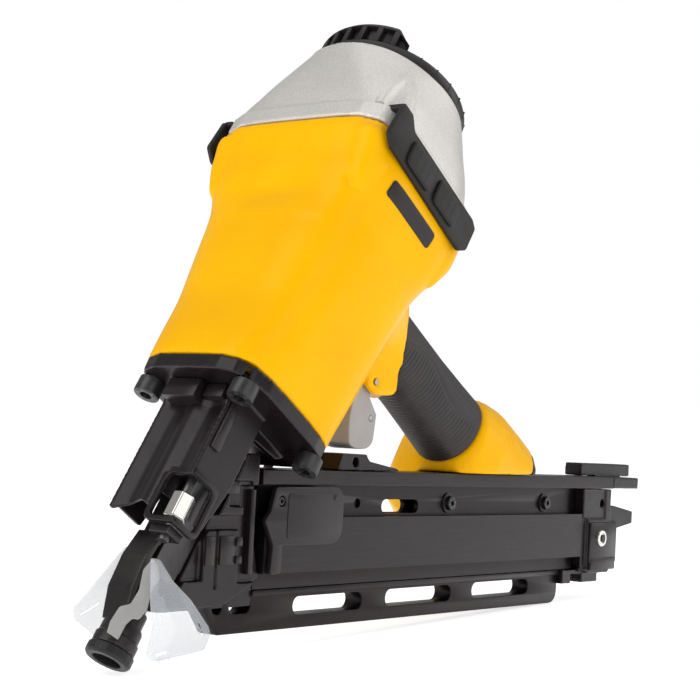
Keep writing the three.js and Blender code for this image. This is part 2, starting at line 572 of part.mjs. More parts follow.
piece(drive, 'rubber_grip', rubberGrip(), BLACK_RUBBER);
piece(drive, 'handle_end', handleEnd(), YELLOW);
piece(drive, 'air_inlet_cap', inletCap(), BLACK_METAL);

for (const name of ['trigger_valve_body', 'trigger_valve_cap', 'trigger_valve_stem', 'trigger_valve_spring']) {
  drive.getObjectByName(name).position.x = VALVE_T;
}

piece(magazine, 'magazine_head', magazineHead(), BLACK_METAL);
piece(magazine, 'magazine_body', magazineBody(), BLACK_METAL);
piece(magazine, 'magazine_top_rail', topRail(), BLACK_METAL);
piece(magazine, 'magazine_bottom_rail', bottomRail(), BLACK_METAL);
piece(magazine, 'cover_plate', coverPlate(), BLACK_PLASTIC);
piece(magazine, 'rail_bracket', railBracket(), BLACK_METAL);
piece(magazine, 'nail_pusher', pusher(), STEEL);
piece(magazine, 'magazine_end_casting', endCasting(), BLACK_METAL);
piece(magazine, 'rail_end_block', endBlock(), BLACK_METAL);
piece(magazine, 'magazine_latch', endLatch(), BLACK_METAL);
[252.7, 357.5].forEach((x, k) => {
  const screw = join(rodY(4.2, x, 69, -9.4, -WEB_W - GAP, 12), rodY(2.2, x, 69, -6.6, -CHANNEL_W - 0.2, 10));
  piece(magazine, `magazine_screw_${k + 1}`, screw, DARK_STEEL);
});

export default tool;
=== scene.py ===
# Pneumatic framing nailer: finishes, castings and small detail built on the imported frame
import json
import math

import bpy
from mathutils import Matrix, Vector


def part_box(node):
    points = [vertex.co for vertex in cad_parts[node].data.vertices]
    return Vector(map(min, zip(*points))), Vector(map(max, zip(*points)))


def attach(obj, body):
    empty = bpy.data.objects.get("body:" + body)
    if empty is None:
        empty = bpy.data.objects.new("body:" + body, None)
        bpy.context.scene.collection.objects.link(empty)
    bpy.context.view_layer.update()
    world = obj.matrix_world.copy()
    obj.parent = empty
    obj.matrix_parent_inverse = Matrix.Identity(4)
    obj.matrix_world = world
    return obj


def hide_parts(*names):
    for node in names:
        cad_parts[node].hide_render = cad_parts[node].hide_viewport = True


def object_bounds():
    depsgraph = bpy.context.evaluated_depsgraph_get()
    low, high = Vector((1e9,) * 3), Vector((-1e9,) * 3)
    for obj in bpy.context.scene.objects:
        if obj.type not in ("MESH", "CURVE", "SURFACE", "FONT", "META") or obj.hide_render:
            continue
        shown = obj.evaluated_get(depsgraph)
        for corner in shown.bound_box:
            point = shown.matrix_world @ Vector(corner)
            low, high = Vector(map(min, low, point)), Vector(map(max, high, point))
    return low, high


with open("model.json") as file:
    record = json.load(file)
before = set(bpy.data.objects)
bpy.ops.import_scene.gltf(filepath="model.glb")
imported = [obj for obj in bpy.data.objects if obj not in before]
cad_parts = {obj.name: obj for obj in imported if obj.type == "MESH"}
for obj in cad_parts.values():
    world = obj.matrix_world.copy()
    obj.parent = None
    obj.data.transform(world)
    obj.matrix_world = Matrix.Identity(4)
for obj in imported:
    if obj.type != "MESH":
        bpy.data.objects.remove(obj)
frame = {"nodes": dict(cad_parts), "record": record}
cadLow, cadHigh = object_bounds()
print("stage: frame loaded")

mm = 0.001
joints = {joint["name"]: joint for joint in frame["record"]["behaviour"]["joints"]}
mounts = {mount["name"]: mount for mount in frame["record"]["mounts"]}
alongDrive = -Vector(joints["driver_stroke"]["axis"]).normalized()  # from the nose up to the cap
alongMagazine = Vector(joints["pusher_travel"]["axis"]).normalized()  # from the nose to the magazine's end
sideways = Vector((0, 1, 0))
awayFromDrive = sideways.cross(alongDrive)  # from the barrel to the handle's end
upMagazine = alongMagazine.cross(sideways)
faceOffset = 8.4 * mm  # the mount's point lies this far from the nose's axis
noseTip = Vector(mounts["nose_contact_face"]["pos_m"]) - faceOffset * awayFromDrive


def placing(x, y, z):
    # millimetres along x, y, z from the centre of the nose tip, as a matrix into the row's frame
    turn = Matrix((x, y, z)).transposed().to_4x4()
    return Matrix.Translation(noseTip) @ turn @ Matrix.Scale(mm, 4)


driveFrame = placing(awayFromDrive, sideways, alongDrive)
magazineFrame = placing(alongMagazine, sideways, upMagazine)

# camera, floor and lights
cameraLook = {
    "place": (-0.7533, -0.5144, 0.1277), "azimuth": -52.65, "rise": 1.38, "roll": 1.76,
    "lens": 83.7, "sensor": 36,
}


def addCamera(look):
    bpy.ops.object.camera_add(location=look["place"])
    camera = bpy.context.object
    camera.name = "camera"
    turnUp = Matrix.Rotation(math.radians(90 + look["rise"]), 4, "X")
    turnRound = Matrix.Rotation(math.radians(look["azimuth"]), 4, "Z")
    rollOver = Matrix.Rotation(math.radians(look["roll"]), 4, "Z")
    camera.matrix_world = Matrix.Translation(look["place"]) @ turnRound @ turnUp @ rollOver
    camera.data.lens = look["lens"]
    camera.data.sensor_width = look["sensor"]
    bpy.context.scene.camera = camera


floorLook = {"size": 30, "colour": (0.95, 0.95, 0.95, 1), "roughness": 0.5, "glow": 0.68}


def addFloor(look):
    bpy.ops.object.select_all(action="DESELECT")
    bpy.ops.mesh.primitive_plane_add(size=look["size"], location=(0, 0, cadLow[2] - 0.0004))
    floor = bpy.context.object
    floor.name = "floor"
    material = bpy.data.materials.new("floorPaper")
    material.use_nodes = True
    paper = material.node_tree.nodes["Principled BSDF"]
    paper.label = "Pale paper"
    paper.inputs["Base Color"].default_value = look["colour"]
    paper.inputs["Roughness"].default_value = look["roughness"]
    paper.inputs["Specular IOR Level"].default_value = 0.3
    paper.inputs["Emission Color"].default_value = (1, 1, 1, 1)
    paper.inputs["Emission Strength"].default_value = look["glow"]
    floor.data.materials.append(material)


lampLooks = {
    "leftBank": {"place": (-1.5, 0.3, 1.1), "aim": (-0.1, 0, 0.16), "size": (1.2, 1.6), "watts": 12.5},
    "topBank": {"place": (0.1, -0.2, 1.7), "aim": (-0.05, 0, 0.1), "size": (1.6, 1.6), "watts": 6},
    "frontBank": {"place": (-0.5, -1.7, 0.7), "aim": (0, 0, 0.14), "size": (1.5, 1.0), "watts": 5},
    "rightBank": {"place": (1.3, -0.9, 0.9), "aim": (0, 0, 0.16), "size": (0.7, 1.5), "watts": 5.5},
}


def addLamps(looks):
    for name, look in looks.items():
        aim = Vector(look["aim"]) - Vector(look["place"])
        turn = aim.to_track_quat("-Z", "Y").to_euler()
        bpy.ops.object.light_add(type="AREA", location=look["place"], rotation=turn)
        lamp = bpy.context.object
        lamp.name = name
        lamp.data.shape = "RECTANGLE"
        lamp.data.size, lamp.data.size_y = look["size"]
        lamp.data.energy = look["watts"]


def addSky(light, seen):
    world = bpy.data.worlds.new("studioSky")
    bpy.context.scene.world = world
    world.use_nodes = True
    nodes, links = world.node_tree.nodes, world.node_tree.links
    sky = nodes["Background"]
    sky.label = "Light of the studio"
    sky.location = (-200, 120)
    sky.inputs["Color"].default_value = (1, 1, 1, 1)
    sky.inputs["Strength"].default_value = light

    paper = nodes.new("ShaderNodeBackground")
    paper.label = "White paper behind"
    paper.location = (-200, -40)
    paper.inputs["Color"].default_value = (1, 1, 1, 1)
    paper.inputs["Strength"].default_value = seen

    ray = nodes.new("ShaderNodeLightPath")
    ray.label = "Seen directly"
    ray.location = (-200, 460)

    choice = nodes.new("ShaderNodeMixShader")
    choice.label = "Light, or paper where it is seen"
    choice.location = (60, 120)
    links.new(ray.outputs["Is Camera Ray"], choice.inputs["Fac"])
    links.new(sky.outputs["Background"], choice.inputs[1])
    links.new(paper.outputs["Background"], choice.inputs[2])
    links.new(choice.outputs["Shader"], nodes["World Output"].inputs["Surface"])


bpy.ops.object.select_all(action="DESELECT")
addCamera(cameraLook)
addFloor(floorLook)
addLamps(lampLooks)
addSky(light=0.36, seen=1.0)
bpy.context.scene.view_settings.view_transform = "Standard"
print("stage: studio set")

# finishes
paintLooks = {
    "yellow_paint": {
        "colour": (0.95, 0.49, 0.001, 1), "patch": (0.92, 0.45, 0.0008, 1), "rub": (0.98, 0.60, 0.03, 1),
        "roughness": (0.24, 0.33), "metallic": 0.0, "specular": 0.07, "coat": 0.015, "coatRoughness": 0.14,
        "grain": 1400, "grainDepth": 0.00002, "wave": 130, "waveDepth": 0.00006,
        "fleck": 0.0, "rubAmount": 0.2,
    },
    "silver_paint": {
        "colour": (0.67, 0.65, 0.615, 1), "patch": (0.63, 0.61, 0.575, 1), "rub": (0.70, 0.68, 0.65, 1),
        "roughness": (0.34, 0.42), "metallic": 0.4, "specular": 0.5, "coat": 0.08, "coatRoughness": 0.3,
        "grain": 3200, "grainDepth": 0.00003, "wave": 160, "waveDepth": 0.00002,
        "fleck": 0.2, "rubAmount": 0.2,
    },
    "black_casting": {
        "colour": (0.010, 0.006, 0.007, 1), "patch": (0.006, 0.004, 0.0045, 1),
        "rub": (0.07, 0.06, 0.06, 1),
        "roughness": (0.24, 0.36), "metallic": 0.0, "specular": 0.27, "coat": 0.1, "coatRoughness": 0.15,
        "grain": 2200, "grainDepth": 0.00005, "wave": 170, "waveDepth": 0.0001,
        "fleck": 0.0, "rubAmount": 0.35,
    },
}


def paintedCasting(name, look):
    material = bpy.data.materials.new(name)
    material.use_nodes = True
    nodes, links = material.node_tree.nodes, material.node_tree.links
    nodes.clear()

    colourFrame = nodes.new("NodeFrame")
    colourFrame.label = "Colour: patches, metal flecks and rubbed edges"
    finishFrame = nodes.new("NodeFrame")
    finishFrame.label = "Finish: roughness varies across the coat"
    reliefFrame = nodes.new("NodeFrame")
    reliefFrame.label = "Relief: cast skin under the paint"

    place = nodes.new("ShaderNodeTexCoord")
    place.label = "Place on the tool"

    patchNoise = nodes.new("ShaderNodeTexNoise")
    patchNoise.label = "Thick and thin paint"
    patchNoise.inputs["Scale"].default_value = 26
    patchNoise.inputs["Detail"].default_value = 5
    links.new(place.outputs["Object"], patchNoise.inputs["Vector"])

    patchRamp = nodes.new("ShaderNodeValToRGB")
    patchRamp.label = "Paint colours"
    patchRamp.color_ramp.elements[0].position = 0.3
    patchRamp.color_ramp.elements[0].color = look["patch"]
    patchRamp.color_ramp.elements[1].position = 0.62
    patchRamp.color_ramp.elements[1].color = look["colour"]
    links.new(patchNoise.outputs["Fac"], patchRamp.inputs["Fac"])

    fleckCells = nodes.new("ShaderNodeTexVoronoi")
    fleckCells.label = "Metal flecks"
    fleckCells.inputs["Scale"].default_value = look["grain"]
    links.new(place.outputs["Object"], fleckCells.inputs["Vector"])

    fleckLevel = nodes.new("ShaderNodeMapRange")
    fleckLevel.label = "Fleck brightness"
    fleckLevel.inputs["To Min"].default_value = 1 - look["fleck"]
    fleckLevel.inputs["To Max"].default_value = 1 + look["fleck"]
    links.new(fleckCells.outputs["Color"], fleckLevel.inputs["Value"])

    fleckTint = nodes.new("ShaderNodeMix")
    fleckTint.label = "Flecks over paint"
    fleckTint.data_type = "RGBA"
    fleckTint.blend_type = "MULTIPLY"
    fleckTint.inputs["Factor"].default_value = 1
    links.new(patchRamp.outputs["Color"], fleckTint.inputs["A"])
    links.new(fleckLevel.outputs["Result"], fleckTint.inputs["B"])

    edges = nodes.new("ShaderNodeNewGeometry")
    edges.label = "Sharp edges"

    rubNoise = nodes.new("ShaderNodeTexNoise")
    rubNoise.label = "Patchy handling"
    rubNoise.inputs["Scale"].default_value = 160
    rubNoise.inputs["Detail"].default_value = 6
    links.new(place.outputs["Object"], rubNoise.inputs["Vector"])

    rubEdge = nodes.new("ShaderNodeMapRange")
    rubEdge.label = "Edges only"
    rubEdge.inputs["From Min"].default_value = 0.53
    rubEdge.inputs["From Max"].default_value = 0.62
    rubEdge.inputs["To Max"].default_value = look["rubAmount"]
    links.new(edges.outputs["Pointiness"], rubEdge.inputs["Value"])

    rubMask = nodes.new("ShaderNodeMath")
    rubMask.label = "Rubbed patches of edge"
    rubMask.operation = "MULTIPLY"
    links.new(rubEdge.outputs["Result"], rubMask.inputs[0])
    links.new(rubNoise.outputs["Fac"], rubMask.inputs[1])

    rubTint = nodes.new("ShaderNodeMix")
    rubTint.label = "Rubbed colour"
    rubTint.data_type = "RGBA"
    rubTint.inputs["B"].default_value = look["rub"]
    links.new(rubMask.outputs["Value"], rubTint.inputs["Factor"])
    links.new(fleckTint.outputs["Result"], rubTint.inputs["A"])

    finishNoise = nodes.new("ShaderNodeTexNoise")
    finishNoise.label = "Dull and bright patches"
    finishNoise.inputs["Scale"].default_value = 60
    finishNoise.inputs["Detail"].default_value = 7
    links.new(place.outputs["Object"], finishNoise.inputs["Vector"])

    finishRange = nodes.new("ShaderNodeMapRange")
    finishRange.label = "Roughness of the coat"
    finishRange.inputs["From Min"].default_value = 0.3
    finishRange.inputs["From Max"].default_value = 0.7
    finishRange.inputs["To Min"].default_value = look["roughness"][0]
    finishRange.inputs["To Max"].default_value = look["roughness"][1]
    links.new(finishNoise.outputs["Fac"], finishRange.inputs["Value"])

    grainNoise = nodes.new("ShaderNodeTexNoise")
    grainNoise.label = "Fine orange peel"
    grainNoise.inputs["Scale"].default_value = look["grain"]
    grainNoise.inputs["Detail"].default_value = 3
    links.new(place.outputs["Object"], grainNoise.inputs["Vector"])

    waveNoise = nodes.new("ShaderNodeTexNoise")
    waveNoise.label = "Uneven cast skin"
    waveNoise.inputs["Scale"].default_value = look["wave"]
    waveNoise.inputs["Detail"].default_value = 2
    links.new(place.outputs["Object"], waveNoise.inputs["Vector"])

    grainBump = nodes.new("ShaderNodeBump")
    grainBump.label = "Fine relief"
    grainBump.inputs["Distance"].default_value = look["grainDepth"]
    links.new(grainNoise.outputs["Fac"], grainBump.inputs["Height"])

    waveBump = nodes.new("ShaderNodeBump")
    waveBump.label = "Broad relief"
    waveBump.inputs["Distance"].default_value = look["waveDepth"]
    links.new(waveNoise.outputs["Fac"], waveBump.inputs["Height"])
    links.new(grainBump.outputs["Normal"], waveBump.inputs["Normal"])

    coat = nodes.new("ShaderNodeBsdfPrincipled")
    coat.label = "Painted casting"
    coat.inputs["Metallic"].default_value = look["metallic"]
    coat.inputs["Specular IOR Level"].default_value = look["specular"]
    coat.inputs["Coat Weight"].default_value = look["coat"]
    coat.inputs["Coat Roughness"].default_value = look["coatRoughness"]
    links.new(rubTint.outputs["Result"], coat.inputs["Base Color"])
    links.new(finishRange.outputs["Result"], coat.inputs["Roughness"])
    links.new(waveBump.outputs["Normal"], coat.inputs["Normal"])

    surface = nodes.new("ShaderNodeOutputMaterial")
    surface.label = "Surface"
    links.new(coat.outputs["BSDF"], surface.inputs["Surface"])

    for node, x, y in (
            (place, -1500, 0), (patchNoise, -1200, 500), (patchRamp, -950, 500),
            (fleckCells, -1200, 780), (fleckLevel, -950, 780), (fleckTint, -650, 600),
            (edges, -1200, 1040), (rubNoise, -1200, 1280), (rubEdge, -950, 1040), (rubMask, -650, 1040),
            (rubTint, -380, 700), (finishNoise, -1200, 120), (finishRange, -950, 120),
            (grainNoise, -1200, -220), (waveNoise, -1200, -480), (grainBump, -650, -220),
            (waveBump, -380, -300), (coat, 0, 200), (surface, 340, 200),
    ):
        node.location = (x, y)
    for node in (
            patchNoise, patchRamp, fleckCells, fleckLevel, fleckTint, edges, rubNoise, rubEdge, rubMask,
            rubTint,
    ):
        node.parent = colourFrame
    for node in (finishNoise, finishRange):
        node.parent = finishFrame
    for node in (grainNoise, waveNoise, grainBump, waveBump):
        node.parent = reliefFrame
    return material


metalLooks = {
    "black_anodised": {
        "colour": (0.016, 0.012, 0.013, 1), "other": (0.022, 0.017, 0.018, 1), "roughness": (0.26, 0.38),
        "metallic": 0.8, "brush": (40, 900, 900), "brushDepth": 0.00003,
        "rub": (0.22, 0.22, 0.23, 1), "rubAmount": 0.4,
    },
    "black_steel": {
        "colour": (0.030, 0.026, 0.027, 1), "other": (0.05, 0.045, 0.044, 1), "roughness": (0.28, 0.42),
        "metallic": 0.8, "brush": (500, 500, 120), "brushDepth": 0.00003,
        "rub": (0.4, 0.4, 0.41, 1), "rubAmount": 0.6,
    },
    "steel": {
        "colour": (0.42, 0.415, 0.41, 1), "other": (0.30, 0.295, 0.29, 1), "roughness": (0.22, 0.38),
        "metallic": 1.0, "brush": (600, 600, 90), "brushDepth": 0.00004,
        "rub": (0.7, 0.7, 0.7, 1), "rubAmount": 0.5,
    },
    "nickel_steel": {
        "colour": (0.74, 0.72, 0.68, 1), "other": (0.58, 0.56, 0.52, 1), "roughness": (0.12, 0.26),
        "metallic": 1.0, "brush": (700, 700, 160), "brushDepth": 0.00003,
        "rub": (0.9, 0.89, 0.87, 1), "rubAmount": 0.4,
    },
    "spring_steel": {
        "colour": (0.32, 0.32, 0.33, 1), "other": (0.22, 0.22, 0.225, 1), "roughness": (0.26, 0.40),
        "metallic": 1.0, "brush": (900, 900, 900), "brushDepth": 0.00002,
        "rub": (0.6, 0.6, 0.6, 1), "rubAmount": 0.3,
    },
    "bare_aluminium": {
        "colour": (0.66, 0.66, 0.67, 1), "other": (0.56, 0.56, 0.57, 1), "roughness": (0.26, 0.40),
        "metallic": 1.0, "brush": (60, 60, 1400), "brushDepth": 0.00005,
        "rub": (0.8, 0.8, 0.8, 1), "rubAmount": 0.3,
    },
    "dark_fastener": {
        "colour": (0.020, 0.020, 0.021, 1), "other": (0.040, 0.038, 0.036, 1), "roughness": (0.30, 0.45),
        "metallic": 0.7, "brush": (1200, 1200, 1200), "brushDepth": 0.00003,
        "rub": (0.30, 0.30, 0.31, 1), "rubAmount": 0.6,
    },
    "valve_brass": {
        "colour": (0.42, 0.20, 0.09, 1), "other": (0.30, 0.14, 0.06, 1), "roughness": (0.24, 0.38),
        "metallic": 1.0, "brush": (90, 90, 1500), "brushDepth": 0.00004,
        "rub": (0.75, 0.5, 0.3, 1), "rubAmount": 0.4,
    },
}


def workedMetal(name, look):
    material = bpy.data.materials.new(name)
    material.use_nodes = True
    nodes, links = material.node_tree.nodes, material.node_tree.links
    nodes.clear()

    colourFrame = nodes.new("NodeFrame")
    colourFrame.label = "Colour: stain and bright edges"
    finishFrame = nodes.new("NodeFrame")
    finishFrame.label = "Finish: tool marks and smears"

    place = nodes.new("ShaderNodeTexCoord")
    place.label = "Place on the tool"

    stretch = nodes.new("ShaderNodeMapping")
    stretch.label = "Marks run along the piece"
    stretch.inputs["Scale"].default_value = look["brush"]
    links.new(place.outputs["Object"], stretch.inputs["Vector"])

    marks = nodes.new("ShaderNodeTexNoise")
    marks.label = "Tool marks"
    marks.inputs["Scale"].default_value = 1
    marks.inputs["Detail"].default_value = 6
    marks.inputs["Roughness"].default_value = 0.7
    links.new(stretch.outputs["Vector"], marks.inputs["Vector"])

    smears = nodes.new("ShaderNodeTexNoise")
    smears.label = "Oily smears"
    smears.inputs["Scale"].default_value = 75
    smears.inputs["Detail"].default_value = 6
    links.new(place.outputs["Object"], smears.inputs["Vector"])

    together = nodes.new("ShaderNodeMath")
    together.label = "Marks and smears"
    together.operation = "MULTIPLY_ADD"
    together.inputs[1].default_value = 0.35
    links.new(marks.outputs["Fac"], together.inputs[0])
    links.new(smears.outputs["Fac"], together.inputs[2])

    finishRange = nodes.new("ShaderNodeMapRange")
    finishRange.label = "Roughness"
    finishRange.inputs["From Min"].default_value = 0.45
    finishRange.inputs["From Max"].default_value = 0.9
    finishRange.inputs["To Min"].default_value = look["roughness"][0]
    finishRange.inputs["To Max"].default_value = look["roughness"][1]
    links.new(together.outputs["Value"], finishRange.inputs["Value"])

    relief = nodes.new("ShaderNodeBump")
    relief.label = "Shallow tool marks"
    relief.inputs["Distance"].default_value = look["brushDepth"]
    links.new(marks.outputs["Fac"], relief.inputs["Height"])

    stain = nodes.new("ShaderNodeValToRGB")
    stain.label = "Stain"
    stain.color_ramp.elements[0].position = 0.35
    stain.color_ramp.elements[0].color = look["colour"]
    stain.color_ramp.elements[1].position = 0.7
    stain.color_ramp.elements[1].color = look["other"]
    links.new(smears.outputs["Fac"], stain.inputs["Fac"])

    edges = nodes.new("ShaderNodeNewGeometry")
    edges.label = "Sharp edges"

    rubEdge = nodes.new("ShaderNodeMapRange")
    rubEdge.label = "Worn edges"
    rubEdge.inputs["From Min"].default_value = 0.53
    rubEdge.inputs["From Max"].default_value = 0.65
    rubEdge.inputs["To Max"].default_value = look["rubAmount"]
    links.new(edges.outputs["Pointiness"], rubEdge.inputs["Value"])

    rubMask = nodes.new("ShaderNodeMath")
    rubMask.label = "Broken wear"
    rubMask.operation = "MULTIPLY"
    links.new(rubEdge.outputs["Result"], rubMask.inputs[0])
    links.new(marks.outputs["Fac"], rubMask.inputs[1])

    rubTint = nodes.new("ShaderNodeMix")
    rubTint.label = "Bright worn metal"
    rubTint.data_type = "RGBA"
    rubTint.inputs["B"].default_value = look["rub"]
    links.new(rubMask.outputs["Value"], rubTint.inputs["Factor"])
    links.new(stain.outputs["Color"], rubTint.inputs["A"])

    metal = nodes.new("ShaderNodeBsdfPrincipled")
    metal.label = "Worked metal"
    metal.inputs["Metallic"].default_value = look["metallic"]
    links.new(rubTint.outputs["Result"], metal.inputs["Base Color"])
    links.new(finishRange.outputs["Result"], metal.inputs["Roughness"])
    links.new(relief.outputs["Normal"], metal.inputs["Normal"])

    surface = nodes.new("ShaderNodeOutputMaterial")
    surface.label = "Surface"
    links.new(metal.outputs["BSDF"], surface.inputs["Surface"])

    for node, x, y in (
            (place, -1400, 0), (stretch, -1200, -200), (marks, -980, -200), (smears, -980, -460),
            (together, -760, -320), (finishRange, -540, -320), (relief, -540, -560), (stain, -760, 300),
            (edges, -980, 560), (rubEdge, -760, 560), (rubMask, -540, 560), (rubTint, -300, 360),
            (metal, 0, 100), (surface, 320, 100),
    ):
        node.location = (x, y)
    for node in (stretch, marks, smears, together, finishRange, relief):
        node.parent = finishFrame
    for node in (stain, edges, rubEdge, rubMask, rubTint):
        node.parent = colourFrame
    return material


mouldedLooks = {
    "black_plastic": {
        "colour": (0.017, 0.013, 0.0135, 1), "other": (0.012, 0.009, 0.0095, 1), "roughness": (0.30, 0.44),
        "grain": 1500, "grainDepth": 0.00006, "specular": 0.35,
    },
    "grey_plastic": {
        "colour": (0.36, 0.35, 0.345, 1), "other": (0.32, 0.31, 0.305, 1), "roughness": (0.34, 0.46),
        "grain": 1300, "grainDepth": 0.00004, "specular": 0.5,
    },
    "grip_rubber": {
        "colour": (0.036, 0.031, 0.032, 1), "other": (0.022, 0.019, 0.020, 1), "roughness": (0.50, 0.64),
        "grain": 1900, "grainDepth": 0.00005, "specular": 0.4,
    },
    "bumper_rubber": {
        "colour": (0.015, 0.013, 0.012, 1), "other": (0.010, 0.0085, 0.008, 1), "roughness": (0.42, 0.56),
        "grain": 1700, "grainDepth": 0.00005, "specular": 0.3,
    },
    "tip_rubber": {
        "colour": (0.018, 0.018, 0.018, 1), "other": (0.011, 0.011, 0.011, 1), "roughness": (0.36, 0.5),
        "grain": 1700, "grainDepth": 0.00005, "specular": 0.3,
    },
    "seal_rubber": {
        "colour": (0.014, 0.014, 0.014, 1), "other": (0.010, 0.010, 0.010, 1), "roughness": (0.34, 0.48),
        "grain": 1700, "grainDepth": 0.00003, "specular": 0.4,
    },
}


def mouldedSkin(name, look):
    material = bpy.data.materials.new(name)
    material.use_nodes = True
    nodes, links = material.node_tree.nodes, material.node_tree.links
    nodes.clear()

    colourFrame = nodes.new("NodeFrame")
    colourFrame.label = "Colour: faint mottling and dust"
    finishFrame = nodes.new("NodeFrame")
    finishFrame.label = "Finish: spark-eroded mould grain"

    place = nodes.new("ShaderNodeTexCoord")
    place.label = "Place on the tool"

    mottle = nodes.new("ShaderNodeTexNoise")
    mottle.label = "Mottling"
    mottle.inputs["Scale"].default_value = 90
    mottle.inputs["Detail"].default_value = 6
    links.new(place.outputs["Object"], mottle.inputs["Vector"])

    tint = nodes.new("ShaderNodeValToRGB")
    tint.label = "Body colours"
    tint.color_ramp.elements[0].position = 0.32
    tint.color_ramp.elements[0].color = look["other"]
    tint.color_ramp.elements[1].position = 0.66
    tint.color_ramp.elements[1].color = look["colour"]
    links.new(mottle.outputs["Fac"], tint.inputs["Fac"])

    grain = nodes.new("ShaderNodeTexVoronoi")
    grain.label = "Mould grain"
    grain.feature = "SMOOTH_F1"
    grain.inputs["Scale"].default_value = look["grain"]
    links.new(place.outputs["Object"], grain.inputs["Vector"])

    finishRange = nodes.new("ShaderNodeMapRange")
    finishRange.label = "Roughness"
    finishRange.inputs["From Min"].default_value = 0.3
    finishRange.inputs["From Max"].default_value = 0.7
    finishRange.inputs["To Min"].default_value = look["roughness"][0]
    finishRange.inputs["To Max"].default_value = look["roughness"][1]
    links.new(mottle.outputs["Fac"], finishRange.inputs["Value"])

    relief = nodes.new("ShaderNodeBump")
    relief.label = "Grain relief"
    relief.inputs["Distance"].default_value = look["grainDepth"]
    links.new(grain.outputs["Distance"], relief.inputs["Height"])

    skin = nodes.new("ShaderNodeBsdfPrincipled")
    skin.label = "Moulded skin"
    skin.inputs["Specular IOR Level"].default_value = look["specular"]
    links.new(tint.outputs["Color"], skin.inputs["Base Color"])
    links.new(finishRange.outputs["Result"], skin.inputs["Roughness"])
    links.new(relief.outputs["Normal"], skin.inputs["Normal"])

    surface = nodes.new("ShaderNodeOutputMaterial")
    surface.label = "Surface"
    links.new(skin.outputs["BSDF"], surface.inputs["Surface"])

    for node, x, y in (
            (place, -1100, 0), (mottle, -880, 260), (tint, -640, 260), (grain, -880, -320),
            (finishRange, -640, -40), (relief, -640, -320), (skin, -300, 100), (surface, 20, 100),
    ):
        node.location = (x, y)
    for node in (mottle, tint):
        node.parent = colourFrame
    for node in (grain, finishRange, relief):
        node.parent = finishFrame
    return material


shieldLook = {"colour": (0.70, 0.74, 0.79, 1), "roughness": (0.03, 0.16), "alpha": 0.34}


def clearSheet(name, look):
    material = bpy.data.materials.new(name)
    material.use_nodes = True
    nodes, links = material.node_tree.nodes, material.node_tree.links
    nodes.clear()

    scuffFrame = nodes.new("NodeFrame")
    scuffFrame.label = "Scuffs on the clear sheet"

    place = nodes.new("ShaderNodeTexCoord")
    place.label = "Place on the tool"

    scuffs = nodes.new("ShaderNodeTexNoise")
    scuffs.label = "Scuffs"
    scuffs.inputs["Scale"].default_value = 120
    scuffs.inputs["Detail"].default_value = 8
    links.new(place.outputs["Object"], scuffs.inputs["Vector"])

    scuffRange = nodes.new("ShaderNodeMapRange")
    scuffRange.label = "Roughness"
    scuffRange.inputs["From Min"].default_value = 0.45
    scuffRange.inputs["From Max"].default_value = 0.75
    scuffRange.inputs["To Min"].default_value = look["roughness"][0]
    scuffRange.inputs["To Max"].default_value = look["roughness"][1]
    links.new(scuffs.outputs["Fac"], scuffRange.inputs["Value"])

    relief = nodes.new("ShaderNodeBump")
    relief.label = "Slight ripple"
    relief.inputs["Distance"].default_value = 0.00006
    links.new(scuffs.outputs["Fac"], relief.inputs["Height"])

    sheet = nodes.new("ShaderNodeBsdfPrincipled")
    sheet.label = "Clear plastic"
    sheet.inputs["Base Color"].default_value = look["colour"]
    sheet.inputs["Alpha"].default_value = look["alpha"]
    sheet.inputs["IOR"].default_value = 1.49
    sheet.inputs["Specular IOR Level"].default_value = 0.8
    links.new(scuffRange.outputs["Result"], sheet.inputs["Roughness"])
    links.new(relief.outputs["Normal"], sheet.inputs["Normal"])

    surface = nodes.new("ShaderNodeOutputMaterial")
    surface.label = "Surface"
    links.new(sheet.outputs["BSDF"], surface.inputs["Surface"])

    for node, x, y in (
            (place, -900, 0), (scuffs, -680, 0), (scuffRange, -440, 0), (relief, -440, -260),
            (sheet, -180, 0), (surface, 140, 0),
    ):
        node.location = (x, y)
    for node in (scuffs, scuffRange, relief):
        node.parent = scuffFrame
    return material


finishes = {name: paintedCasting(name, look) for name, look in paintLooks.items()}
finishes.update({name: workedMetal(name, look) for name, look in metalLooks.items()})
finishes.update({name: mouldedSkin(name, look) for name, look in mouldedLooks.items()})
finishes["clear_plastic"] = clearSheet("clear_plastic", shieldLook)
slotOf = {part["node"]: part["material_slot"] for part in frame["record"]["subparts"]}
bodyOf = {node: body for body, nodes in frame["record"]["behaviour"]["bodies"].items() for node in nodes}
for name, node in frame["nodes"].items():
    node.data.materials.clear()
    node.data.materials.append(finishes[slotOf[name]])
print("stage: finishes made")

# ways of working


def clearSelection():
    if bpy.context.mode != "OBJECT":
        bpy.ops.object.mode_set(mode="OBJECT")
    bpy.ops.object.select_all(action="DESELECT")


def pick(piece):
    clearSelection()
    piece.select_set(True)
    bpy.context.view_layer.objects.active = piece


def copyOfNode(node, name):
    # a merged copy of a CAD node, free of its body
    clearSelection()
    source = frame["nodes"][node]
    pick(source)
    bpy.ops.object.duplicate()
    piece = bpy.context.object
    piece.name = name
    piece.parent = None
    piece.matrix_world = Matrix.Identity(4)
    bpy.ops.object.mode_set(mode="EDIT")
    bpy.ops.mesh.select_all(action="SELECT")
    bpy.ops.mesh.remove_doubles(threshold=0.01 * mm)
    bpy.ops.object.mode_set(mode="OBJECT")
    return piece


def apply(piece, kind, **settings):
    pick(piece)
    modifier = piece.modifiers.new(kind.lower(), kind)
    for setting, value in settings.items():
        setattr(modifier, setting, value)
    bpy.ops.object.modifier_apply(modifier=modifier.name)


